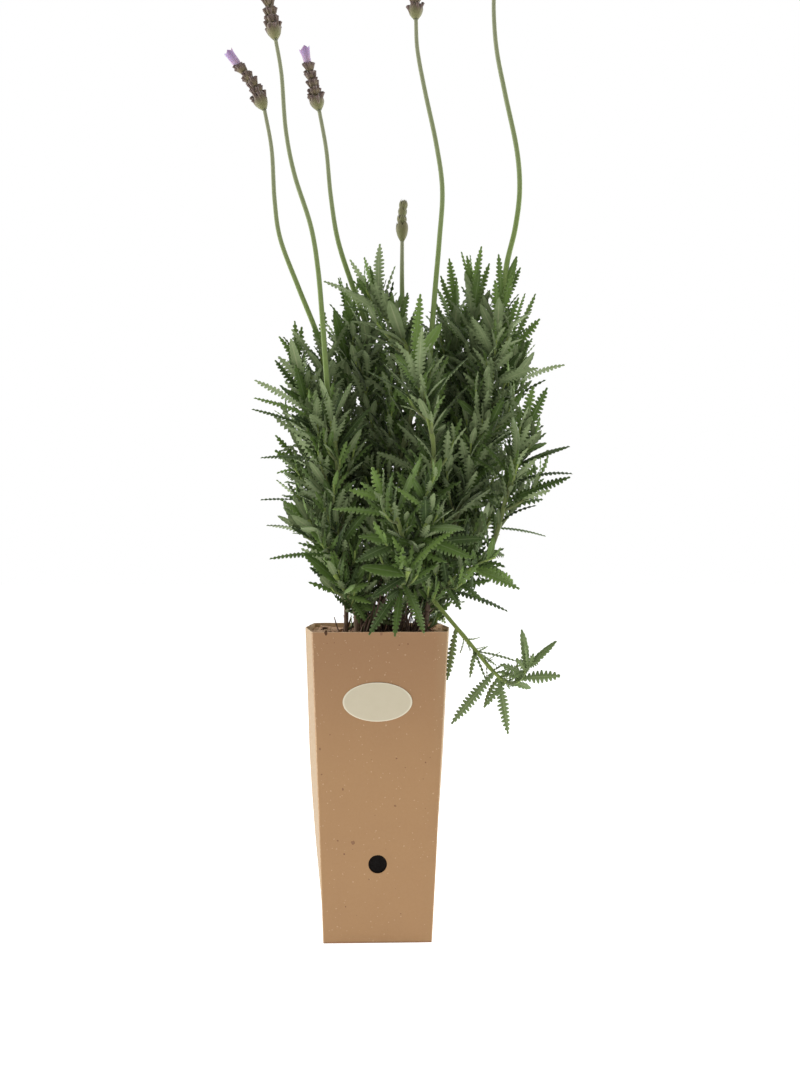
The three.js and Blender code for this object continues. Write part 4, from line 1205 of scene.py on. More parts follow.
def leaf_material(looks, stems):
    """Felted leaf: green above with a pale margin and rib, grey-green felt below. Tones: share of
    the length, distance from the rib, tint, youth."""
    leaf = Finish("lavender leaf", specular_ior_level=0.3, sheen_weight=0.06, sheen_roughness=0.5)
    share, across, tint, young = leaf.tones
    below = leaf.add("ShaderNodeAttribute", attribute_name="underside").outputs["Fac"]
    cloud = leaf.mottle(0.0045, 1.0)
    shade = leaf.calc("ADD", leaf.times(tint, 0.75), leaf.times(cloud, 0.25))
    upper = leaf.blend(shade, looks.upper_dark, looks.upper_light)
    upper = leaf.blend(young, upper, looks.young)
    upper = leaf.blend(leaf.ramp(across, 0.6, 1.0, 0.0, 0.5), upper, looks.felt)
    upper = leaf.blend(leaf.ramp(across, 0.0, 0.1, 0.45, 0.0), upper, looks.felt)
    upper = leaf.blend(leaf.ramp(share, 0.0, 0.12, 0.5, 0.0), upper, looks.young)
    lower = leaf.blend(leaf.times(cloud, 0.4), looks.felt, looks.felt_shade)
    lower = leaf.blend(leaf.ramp(across, 0.0, 0.12, 0.6, 0.0), lower, stems.stem_pale)
    colour = leaf.blend(below, upper, lower)
    return leaf.done(colour, (cloud, 0.6, 0.78), leaf.felt(0.0005), depth=0.00015, strength=0.6)


def bract_material(looks):
    """Bracts, green at the foot and purple-brown at the tip. Tones: share of the length, distance
    from the middle, tint, how far up the spike."""
    bract = Finish("flower bract", specular_ior_level=0.25, sheen_weight=0.3, sheen_roughness=0.5)
    share, across, tint, height = bract.tones
    veins = bract.streaks(0.0007, 1.2, 0.2)
    ripe = bract.times(bract.ramp(share, 0.1, 0.95), bract.ramp(height, 0.0, 0.35, 0.3, 1.0))
    dry = bract.ramp(height, 0.3, 0.8, 0.0, 0.8)
    colour = bract.blend(dry, looks.bract_green, looks.bract_brown)
    colour = bract.blend(ripe, colour, looks.bract_purple)
    colour = bract.blend(bract.times(tint, 0.3), colour, looks.bract_brown)
    colour = bract.blend(bract.times(veins, 0.3), colour, looks.bract_pale)
    colour = bract.blend(bract.ramp(across, 0.75, 1.0, 0.0, 0.3), colour, looks.bract_pale)
    return bract.done(colour, (veins, 0.6, 0.8), bract.felt(0.0004), depth=0.00015, strength=0.6)


def petal_material(looks):
    """Thin lilac petals, pinkish at the foot, with fine veins. Tones: share of the length, distance
    from the middle, tint."""
    petal = Finish(
        "lilac petal",
        specular_ior_level=0.3, sheen_weight=0.1, subsurface_weight=0.1, subsurface_scale=0.001,
    )
    share, _, tint, _ = petal.tones
    veins = petal.streaks(0.0006, 1.0, 0.15)
    colour = petal.blend(petal.ramp(share, 0.0, 0.8), looks.petal_foot, looks.petal)
    colour = petal.blend(petal.times(veins, 0.35), colour, looks.petal_vein)
    colour = petal.blend(petal.times(tint, 0.3), colour, looks.petal_pale)
    return petal.done(colour, (veins, 0.55, 0.7), veins, depth=0.0001, strength=0.2)


# ---- sizes and colours that a user may change ------------------------------------------------


def length_prop(name, description, millimetres):
    return bpy.props.FloatProperty(
        name=name, description=description, default=millimetres * MM,
        min=0, precision=5, unit="LENGTH",
    )


def colour_prop(name, description, red, green, blue):
    return bpy.props.FloatVectorProperty(
        name=name, description=description, default=linear(red, green, blue),
        min=0, max=1, subtype="COLOR",
    )


def power_prop(name, description, watts):
    return bpy.props.FloatProperty(
        name=name, description=description, default=watts, min=0, unit="POWER"
    )


def count_prop(name, description, default):
    return bpy.props.IntProperty(name=name, description=description, default=default, min=0)


class LavenderBoxLooks(bpy.types.PropertyGroup):
    """The folded card box and its label."""

    card: length_prop("Card", "Thickness of the card", 0.8)
    fold: length_prop("Fold", "Radius of a folded edge", 0.9)
    ripple: length_prop("Ripple", "How far the panels stand off flat", 0.25)
    # the rim's card colour is darker than the base's: painted shade from the bush above
    kraft_top: colour_prop("Kraft, top", "Card colour at the rim", 158, 119, 80)
    kraft_bottom: colour_prop("Kraft, bottom", "Card colour at the base", 173, 133, 88)
    # paler card on the side panels and the inner walls: painted light, not the card's own colour
    kraft_faded: colour_prop("Kraft, faded", "Card colour of the side panels", 170, 143, 105)
    kraft_dark: colour_prop("Kraft, shade", "Darker clouds and grain in the card", 150, 108, 76)
    # the pale card also lies on the inner walls as painted light
    kraft_pale: colour_prop("Kraft, pale", "Pale flecks, worn folds and cut edges", 226, 200, 164)
    # the fleck colour also gives the painted shade along the foot of the box
    kraft_fleck: colour_prop("Kraft, fleck", "Brown flecks in the card", 112, 68, 46)
    label_width: length_prop("Label width", "Width of the oval label", 46)
    label_height: length_prop("Label height", "Height of the oval label", 26)
    label_thickness: length_prop("Label thickness", "Thickness of the label", 0.3)
    paper: colour_prop("Paper", "Label colour", 206, 196, 171)
    paper_shade: colour_prop("Paper, shade", "Clouds in the paper", 196, 185, 157)
    paper_edge: colour_prop("Paper, edge", "The label's cut edge", 240, 233, 210)


class LavenderSoilLooks(bpy.types.PropertyGroup):
    """The root ball's top."""

    lump: length_prop("Lump", "Height of the lumps in the surface", 1.3)
    chips: count_prop("Bark chips", "Number of bark chips and crumbs", 210)
    fibres: count_prop("Fibres", "Number of coir fibres", 230)
    tuft_fibres: count_prop("Tuft", "Number of fibres in the tuft at the right rear", 70)
    twigs: count_prop("Twigs", "Number of thin dead twigs at the foot of the plant", 150)
    peat_dark: colour_prop("Peat, dark", "Darkest peat", 42, 28, 20)
    peat_brown: colour_prop("Peat, brown", "Lighter peat", 112, 80, 56)
    # near-black peat for the block's sides: painted shade
    peat_hidden: colour_prop("Peat, hidden", "The block's sides", 16, 12, 10)
    coir: colour_prop("Coir", "Coir fibres and pale bark", 218, 180, 150)


class LavenderStemLooks(bpy.types.PropertyGroup):
    """Woody stems, green stems and flower stalks."""

    bark_brown: colour_prop("Bark, brown", "Bark", 92, 68, 54)
    bark_purple: colour_prop("Bark, purple", "Purple-grey bark", 88, 72, 76)
    bark_pale: colour_prop("Bark, pale", "Peeling strips of bark", 140, 120, 100)
    shoot_base: colour_prop("Shoot, base", "Old green wood", 88, 96, 50)
    shoot_tip: colour_prop("Shoot, tip", "Young green stem", 126, 148, 60)
    stalk_base: colour_prop("Stalk, base", "Flower stalk low down", 108, 131, 60)
    stalk_tip: colour_prop("Stalk, tip", "Flower stalk under the spike", 138, 141, 112)
    stem_pale: colour_prop("Stem, pale", "Down on the ridges", 158, 164, 124)


class LavenderLeafLooks(bpy.types.PropertyGroup):
    """Leaves."""

    tooth_pitch: length_prop("Tooth pitch", "Distance from tooth to tooth along the margin", 2.9)
    leaf_spacing: length_prop("Leaf spacing", "Distance between the small leaves' pairs", 6.5)
    leaf_room: length_prop("Leaf room", "Least distance between two leaves' ribs", 2.3)
    axil_share: bpy.props.FloatProperty(
        name="Axil leaves", description="Share of pairs with small leaves beside them",
        default=0.6, min=0, max=1,
    )
    twig_spacing: length_prop("Twig spacing", "Distance between side shoots", 9)
    upper_dark: colour_prop("Upper, dark", "Dark leaves, above", 39, 56, 23)
    upper_light: colour_prop("Upper, light", "Light leaves, above", 87, 113, 46)
    young: colour_prop("Young", "Young leaves", 120, 148, 70)
    felt: colour_prop("Felt", "Pale felt below and on the margin", 126, 141, 98)
    felt_shade: colour_prop("Felt, shade", "Darker felt", 90, 107, 64)


class LavenderFlowerLooks(bpy.types.PropertyGroup):
    """Flower spikes and their lilac tufts."""

    bract_green: colour_prop("Bract, green", "Foot of a bract", 104, 111, 62)
    bract_brown: colour_prop("Bract, brown", "Dry bracts", 110, 94, 66)
    bract_purple: colour_prop("Bract, purple", "Tips of the upper bracts", 82, 62, 62)
    bract_pale: colour_prop("Bract, pale", "Down and edges", 150, 138, 116)
    petal: colour_prop("Petal", "Petals", 162, 136, 176)
    petal_foot: colour_prop("Petal, foot", "Foot of the petals", 176, 150, 168)
    petal_vein: colour_prop("Petal, vein", "Veins", 134, 106, 152)
    petal_pale: colour_prop("Petal, pale", "Lightest petals", 190, 170, 200)


class LavenderStageLooks(bpy.types.PropertyGroup):
    """Camera, floor and light."""

    distance: length_prop("Distance", "From the camera to the pot's middle", 908.7)
    right: length_prop("Right", "How far the camera stands to the right of the pot's middle", 16.2)
    height: length_prop("Height", "Height of the camera", 272.9)
    yaw: bpy.props.FloatProperty(
        name="Yaw", description="How far the camera is turned to the right",
        default=math.radians(2), subtype="ANGLE",
    )
    lens: bpy.props.FloatProperty(
        name="Lens", description="Focal length", default=44.165, unit="CAMERA"
    )
    sky: bpy.props.FloatProperty(
        name="Sky", description="Strength of the soft light all round", default=0.32
    )
    sides: power_prop("Sides", "Power of the lights at the sides", 18)
    top: power_prop("Top", "Power of the light above", 8)
    front: power_prop("Front", "Power of the front light", 0.6)


LOOKS = {
    "lavender_box": LavenderBoxLooks,
    "lavender_soil": LavenderSoilLooks,
    "lavender_stems": LavenderStemLooks,
    "lavender_leaves": LavenderLeafLooks,
    "lavender_flowers": LavenderFlowerLooks,
    "lavender_stage": LavenderStageLooks,
}


# ---- pieces ----------------------------------------------------------------------------------


def add_piece(name, mesh, materials, slot, *nodes):
    """A finished piece: it rides with the pot and stands for the named solids. Its slot is not
    used.
    """
    piece = bpy.data.objects.new(name, mesh)
    bpy.context.scene.collection.objects.link(piece)
    for material in materials:
        mesh.materials.append(material)
    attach(piece, "root")
    if nodes:
        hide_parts(*nodes)
    return piece


def box_section(z, inset):
    """The card's six corners at each height: two flat panels, and a crease down each side."""
    t = z / BOX_HEIGHT
    half = (BOX_BASE + (BOX_TOP - BOX_BASE) * t) / 2 - inset
    bulge = np.sin(np.pi / 2 * np.minimum(1, t / CREASE_FULL))
    middle, skew, zero = BOX_LEAN * t, BOX_SKEW * t, 0 * t
    x = (
        middle - half, middle + half, middle + half + CREASE_RIGHT * bulge,
        middle + half - skew, middle - half - skew, middle - half - CREASE_LEFT * bulge,
    )
    y = (-half, -half, zero, half, half, zero)
    return np.stack([np.stack(x, axis=-1), np.stack(y, axis=-1)], axis=-1)


def folded_outline(corners, radius, between):
    """Points round a section whose corners are folds: at each corner a quadratic curve from one
    edge to the next, and a number of points between. Also how near each point is to a ridge."""
    before, after = np.roll(corners, 1, axis=1), np.roll(corners, -1, axis=1)
    start = corners + unit(before - corners) * radius
    end = corners + unit(after - corners) * radius
    u = np.linspace(0, 1, 5)[:, None]
    start, middle, end = start[:, :, None], corners[:, :, None], end[:, :, None]
    arcs = (1 - u) ** 2 * start + 2 * u * (1 - u) * middle + u**2 * end
    share = np.linspace(0, 1, between + 2)[1:-1, None]
    edges = end + (np.roll(start, -1, axis=1) - end) * share
    ring = np.concatenate([arcs, edges], axis=2).reshape(len(corners), -1, 2)
    ridge = np.tile(np.concatenate([[0, 0.5, 1, 0.5, 0], np.zeros(between)]), 6)
    return ring, ridge


def card_wall(z, inset, looks):
    """One face of the card, from the base up: rings of points, rippled a little off flat."""
    ring, ridge = folded_outline(box_section(z, inset), looks.fold / MM, 11)
    rows, columns, _ = ring.shape
    height = np.broadcast_to(z[:, None, None], (rows, columns, 1))
    points = np.concatenate([ring, height], axis=-1)
    still = np.sin(np.pi * np.clip(z / BOX_HEIGHT, 0.0, 1.0)) ** 0.5
    waves = rumple(points.reshape(-1, 3), 95, CARD_SEED, octaves=2)
    ripple = waves.reshape(rows, columns) * still[:, None]
    outward = unit(np.sign(ring) * np.abs(ring) ** 6 + 1e-9)
    points[..., :2] += outward * (ripple * looks.ripple / MM)[..., None]
    return points, ridge


def vent_cutter():
    """A short round bar across the front panel, whose skin leaves the bare cut edge of the hole."""
    bar = Shell()
    angle = 2 * np.pi * np.arange(48) / 48
    front = -(BOX_BASE + (BOX_TOP - BOX_BASE) * VENT_HEIGHT / BOX_HEIGHT) / 2
    depth = np.array([front + 6, front - 6])
    rings = np.zeros((2, 48, 3))
    rings[..., 0] = VENT_RADIUS * np.cos(angle)
    rings[..., 1] = depth[:, None]
    rings[..., 2] = VENT_HEIGHT + VENT_RADIUS * np.sin(angle)
    add_closed(bar, rings)
    cutter = bpy.data.objects.new("vent_cutter", bar.mesh("vent_cutter"))
    bpy.context.scene.collection.objects.link(cutter)
    return cutter


def cut_with(piece, cutter):
    """Takes the cutter's shape out of the piece for good, and removes the cutter."""
    cut = piece.modifiers.new("vent", "BOOLEAN")
    cut.object, cut.operation, cut.solver = cutter, "DIFFERENCE", "EXACT"
    evaluated = piece.evaluated_get(bpy.context.evaluated_depsgraph_get())
    piece.data = bpy.data.meshes.new_from_object(evaluated)
    piece.modifiers.clear()
    bpy.data.objects.remove(cutter)
    points = np.zeros(len(piece.data.vertices) * 3, np.float32)
    piece.data.vertices.foreach_get("co", points)
    x, y, z = points.reshape(-1, 3).T / MM
    tones = np.zeros(len(x) * 4, np.float32)
    piece.data.attributes["tones"].data.foreach_get("color", tones)
    tones = tones.reshape(-1, 4)
    round_vent = (np.hypot(x, z - VENT_HEIGHT) < VENT_RADIUS + 1) & (y < 0)
    tones[round_vent] = 0, 0, 0, VENT_HEIGHT / BOX_HEIGHT
    piece.data.attributes["tones"].data.foreach_set("color", tones.ravel())


class LAVENDER_OT_box(bpy.types.Operator):
    """The folded kraft-card box: an outer and an inner face joined at the rim, and a floor"""

    bl_idname = "lavender.box"
    bl_label = "Card box"

    def execute(self, context):
        looks = context.scene.lavender_box
        card = looks.card / MM
        between = np.linspace(5, BOX_HEIGHT - 5, 39)
        z = np.concatenate([[0, 0.4], between, [BOX_HEIGHT - 0.4, BOX_HEIGHT]])
        outer, ridge = card_wall(z, 0, looks)
        inner, _ = card_wall(np.maximum(z, FLOOR), card, looks)
        uneven = 0.18 * rumple(outer[-1], 12, RIM_SEED)
        outer[-1, :, 2] += uneven - 0.18
        inner[-1, :, 2] += uneven - 0.18
        rim = (outer[-1] + inner[-1]) / 2 + [0, 0, 0.15]
        rings = np.concatenate([outer, rim[None], inner[::-1]])
        tones = np.zeros((len(rings), rings.shape[1], 4))
        tones[: len(z), :, 0] = ridge
        tones[len(z) - 1 : len(z) + 2, :, 1] = 1
        # the side panels take the paler card: painted light from the lamps at the sides
        tones[: len(z), :, 2] = np.clip((np.abs(outer[..., 0]) - np.abs(outer[..., 1])) / 1.5, 0, 1)
        # the inner walls take the pale and the paler card: painted light on faces that the bush
        # shades
        tones[len(z) + 2 :, :, 1:3] = 1, 0.8
        tones[..., 3] = rings[..., 2] / BOX_HEIGHT
        shell = Shell()
        poles = [[0, 0, 0], [0, 0, FLOOR]]
        add_closed(shell, rings, tones, poles)
        mesh = shell.mesh("kraft_box")
        piece = add_piece("kraft_box", mesh, [kraft_material(looks)], "kraft_card", "card_box")
        cut_with(piece, vent_cutter())
        piece.data.set_sharp_from_angle(angle=math.radians(38))
        return {"FINISHED"}


class LAVENDER_OT_label(bpy.types.Operator):
    """The bare oval label: rings from its back to its front, a little cockled"""

    bl_idname = "lavender.label"
    bl_label = "Label"

    def execute(self, context):
        looks = context.scene.lavender_box
        wide, high = looks.label_width / MM / 2, looks.label_height / MM / 2
        thick = looks.label_thickness / MM
        share = np.array([0.5, 0.97, 0.995, 1, 1, 0.995, 0.985, 0.94, 0.85, 0.7, 0.5, 0.3, 0.1])
        lift = np.array([0.1, 0.1, 0.12, 0.3, 0.7, 0.93, 1, 1, 1, 1, 1, 1, 1]) * thick + 0.1
        angle = 2 * np.pi * np.arange(96) / 96
        x = wide * share[:, None] * np.cos(angle)
        y = high * share[:, None] * np.sin(angle)
        lean = math.atan2((BOX_TOP - BOX_BASE) / 2, BOX_HEIGHT)
        up = np.array([0, -math.sin(lean), math.cos(lean)])
        out = np.array([0, -math.cos(lean), -math.sin(lean)])
        front = -(BOX_BASE + (BOX_TOP - BOX_BASE) * LABEL_CENTRE / BOX_HEIGHT) / 2
        flat = np.stack([x, y, 0 * x], axis=-1).reshape(-1, 3)
        cockle = 0.05 * (1 + rumple(flat, 9, PAPER_SEED)).reshape(x.shape)
        rings = np.array([LABEL_X, front, LABEL_CENTRE]) + x[..., None] * [1, 0, 0]
        rings = rings + y[..., None] * up + (lift[:, None] + cockle)[..., None] * out
        tones = np.zeros((*x.shape, 4))
        tones[..., 0] = share[:, None]
        shell = Shell()
        add_closed(shell, rings, tones)
        mesh = shell.mesh("oval_label", crisp=50)
        add_piece("oval_label", mesh, [label_material(looks)], "label_paper", "paper_label")
        return {"FINISHED"}


def soil_height(x, y):
    """The solids' hummocks: a sine wave along x times one along y, and a finer one aslant."""
    hummocks = 0.9 * np.sin(x / 7.1 + 0.6) * np.cos(y / 6.3 - 0.4)
    return SOIL_TOP + hummocks + 0.5 * np.sin(x / 3.3 + y / 4.1)


def soil_top(x, y, looks):
    """The hummocks with lumps and crumbs on them, heaped up a little towards the card."""
    flat = np.stack([x, y, 0 * x], axis=-1).reshape(-1, 3)
    lumps = rumple(flat, 8, LUMP_SEED, octaves=5).reshape(x.shape)
    heaped = 1.2 * np.clip((np.hypot(x + 4, y) - 14) / 20, 0, 1)
    return soil_height(x, y) + looks.lump / MM * np.abs(lumps) * 1.4 - 0.6 + heaped


def tan_share(x, y):
    """How far the surface is coir rather than peat: pale at the left, dark in the middle, pale
    again at the right rear."""
    left = np.clip((-x - 12) / 12, 0, 1)
    right = np.clip((x - 26) / 10, 0, 1) * np.clip((y + 20) / 20, 0, 1)
    return np.maximum(left, right)


def add_chip(shell, place, length, yaw, tilt, random, tones):
    """A flake of bark: three uneven rings along its length, closed at both ends."""
    wide, thick = length * random.uniform(0.3, 0.6), length * random.uniform(0.12, 0.25)
    angle = 2 * np.pi * np.arange(6) / 6
    along = np.array([-0.4, 0.0, 0.4])
    fat = np.array([0.8, 1.0, 0.75])[:, None] * random.uniform(0.75, 1.2, (3, 6))
    rings = np.zeros((3, 6, 3))
    rings[..., 0] = length * (along[:, None] + random.uniform(-0.06, 0.06, (3, 6)))
    rings[..., 1] = wide / 2 * fat * np.cos(angle)
    rings[..., 2] = thick / 2 * fat * np.sin(angle)
    turn = np.array(Euler((random.uniform(-0.4, 0.4), tilt, yaw)).to_matrix())
    ends = np.array([[-length / 2, 0, 0], [length / 2, 0, 0]])
    add_closed(shell, rings @ turn.T + place, tones, ends @ turn.T + place)


def add_fibre(shell, start, heading, length, radius, random, tones, rise=0.0, sides=3):
    """A thin strand that wanders: its heading drifts by a small random turn at each ring."""
    rings = 8
    drift = np.cumsum(random.normal(0, 0.35, rings))
    climb = rise + np.cumsum(random.normal(0, 0.12, rings))
    steps = np.stack([np.cos(heading + drift), np.sin(heading + drift), climb], axis=-1)
    path = start + np.cumsum(unit(steps), axis=0) * length / rings
    along = unit(np.gradient(path, axis=0))
    side = unit(np.cross(along, [0.13, 0.31, 0.94]))
    up = np.cross(along, side)
    angle = 2 * np.pi * np.arange(sides) / sides
    taper = radius * np.linspace(1, 0.45, rings)
    circle = side[:, None] * np.cos(angle)[:, None] + up[:, None] * np.sin(angle)[:, None]
    add_closed(shell, path[:, None] + circle * taper[:, None, None], tones)


class LAVENDER_OT_soil(bpy.types.Operator):
    """The root ball with its lumpy top, bark chips, coir fibres and dead twigs"""

    bl_idname = "lavender.soil"
    bl_label = "Soil"

    def execute(self, context):
        looks = context.scene.lavender_soil
        card = context.scene.lavender_box.card / MM
        material = soil_material(looks)
        add_piece("potting_soil", self.block(looks, card), [material], "soil", "soil")
        add_piece("bark_chips", self.chips(looks), [material], "soil")
        add_piece("coir_fibres", self.fibres(looks), [material], "soil")
        bark = bark_material(context.scene.lavender_stems)
        add_piece("dead_twigs", self.twigs(looks), [bark], "woody_stem")
        return {"FINISHED"}

    def block(self, looks, card):
        """Rings from the middle of the base out to the card, up along it, and in over the top."""
        base = FLOOR + SOIL_GAP
        wall = np.array([base, 50, 100, 150, 190, SOIL_TOP])
        outline, _ = folded_outline(box_section(wall, card + SOIL_GAP), 1.5, 22)
        middle = outline.mean(axis=1, keepdims=True)
        shares = np.linspace(1, 0.02, 64)[1:]
        rings = np.zeros((1 + len(wall) + len(shares), outline.shape[1], 3))
        foot, side, top = rings[0], rings[1 : 1 + len(wall)], rings[1 + len(wall) :]
        foot[:, :2] = middle[0] + (outline[0] - middle[0]) * 0.5
        foot[:, 2] = base
        side[..., :2] = outline
        side[..., 2] = wall[:, None]
        top[..., :2] = middle[-1:] + (outline[-1:] - middle[-1:]) * shares[:, None, None]
        upper = rings[len(wall) :]
        upper[..., 2] = soil_top(upper[..., 0], upper[..., 1], looks)
        tones = np.zeros((*rings.shape[:2], 4))
        clouds = rumple(rings.reshape(-1, 3), 6, PEAT_SEED)
        tones[..., 0] = 0.5 + 0.5 * clouds.reshape(rings.shape[:2])
        tones[..., 1] = tan_share(rings[..., 0], rings[..., 1])
        # the sides against the card take the near-black peat: painted shade
        tones[: len(wall), :, 2] = 1
        shell = Shell()
        add_closed(shell, rings, tones)
        return shell.mesh("potting_soil")

    def chips(self, looks):
        """Bark chips on the soil, most of them pale where the soil is, and crumbs on the rim."""
        random = np.random.default_rng(CHIPS_SEED)
        shell = Shell()
        reach = BOX_TOP / 2 - 5
        for _ in range(looks.chips):
            x, y = random.uniform(-reach, reach, 2)
            length = random.uniform(1.5, 9) * random.uniform(0.6, 1)
            x, y = np.clip([x, y], 0.4 * length - reach, reach - 0.4 * length)
            z = soil_top(x, y, looks) + length * 0.08
            share = random.uniform(0.45, 1) if random.random() < 0.72 else 0
            tint = random.random()
            pale = max(share * tan_share(x, y), 0.5 * (random.random() < 0.18))
            yaw, tilt = random.uniform(0, 6.3), random.uniform(-0.5, 0.5)
            add_chip(shell, [x, y, z], length, yaw, tilt, random, (tint, pale, 0, 0))
        for place, length, yaw, tilt in RIM_CRUMBS:
            add_chip(shell, place, length, yaw, tilt, random, (0.3, 0, 0, 0))
        return shell.mesh("bark_chips", crisp=40)

    def fibres(self, looks):
        """Coir fibres that lie on the soil, and a tuft of them at the right rear."""
        random = np.random.default_rng(FIBRES_SEED)
        shell = Shell()
        reach = BOX_TOP / 2 - 9
        for _ in range(looks.fibres):
            x, y = random.uniform(-reach, reach, 2)
            start = np.array([x, y, soil_top(x, y, looks) + random.uniform(0, 0.7)])
            inwards = math.atan2(-y, -x) + random.uniform(-1.6, 1.6)
            length, thick = random.uniform(5, 13), random.uniform(0.12, 0.28)
            tones = (random.random(), 0.35 + 0.6 * tan_share(x, y), 0, 0)
            add_fibre(shell, start, inwards, length, thick, random, tones)
        for _ in range(looks.tuft_fibres):
            x, y = random.normal(34, 3), random.normal(20, 6)
            start = np.array([min(x, 40), min(y, 38), SOIL_TOP - 0.5])
            tones = (random.random(), random.uniform(0.6, 1), 0, 0)
            heading, length = random.uniform(0, 6.3), random.uniform(6, 11)
            rise = random.uniform(0.8, 2.2)
            add_fibre(shell, start, heading, length, 0.22, random, tones, rise)
        return shell.mesh("coir_fibres")

    def twigs(self, looks):
        """Dead twigs between the woody stems, every second one in a low mat at the left."""
        random = np.random.default_rng(TWIGS_SEED)
        shell = Shell()
        for step in range(looks.twigs):
            x, y = random.uniform(-14, 28), random.uniform(-14, 16)
            start = np.array([x, y, SOIL_TOP - 1.5])
            heading = math.atan2(y, x) + random.uniform(-1.4, 1.4)
            length, thick = random.uniform(12, 40), random.uniform(0.35, 0.95)
            if step % 2:
                start[:2], length = random.normal([-6, -2], [6, 6]), random.uniform(14, 24)
            if start[0] < -8:  # turned away from the bare soil at the left
                heading = math.atan2(math.sin(heading), abs(math.cos(heading)))
            tones = (0.2, 0.35 * random.random(), 0, 0)
            rise = random.uniform(1.2, 3)
            add_fibre(shell, start, heading, length, thick, random, tones, rise, sides=5)
        return shell.mesh("dead_twigs")


class LAVENDER_OT_woody_stems(bpy.types.Operator):
    """The woody stems, with flaking bark and old knots"""

    bl_idname = "lavender.woody_stems"
    bl_label = "Woody stems"

    def execute(self, context):
        material = bark_material(context.scene.lavender_stems)
        for number, (radii, points) in WOODY.items():
            route = Route(points)
            shell = Shell()
            places = np.arange(26, route.length - 4, 13)
            knots = places + 3 * np.sin(number * places)
            worn = WORN_BARK.get(number, 0.1)
            tones = ((0, 1), (worn, 0.5 * worn))
            add_stem(
                shell, route, radii, round(route.length / 1.6), WOOD_SECTION, tones,
                lumps=0.28, knots=knots, bark=0.16, seed=BARK_SEED + number,
            )
            name, node = f"bark_stem_{number}", f"woody_stem_{number}"
            add_piece(name, shell.mesh(name), [material], "woody_stem", node)
        return {"FINISHED"}


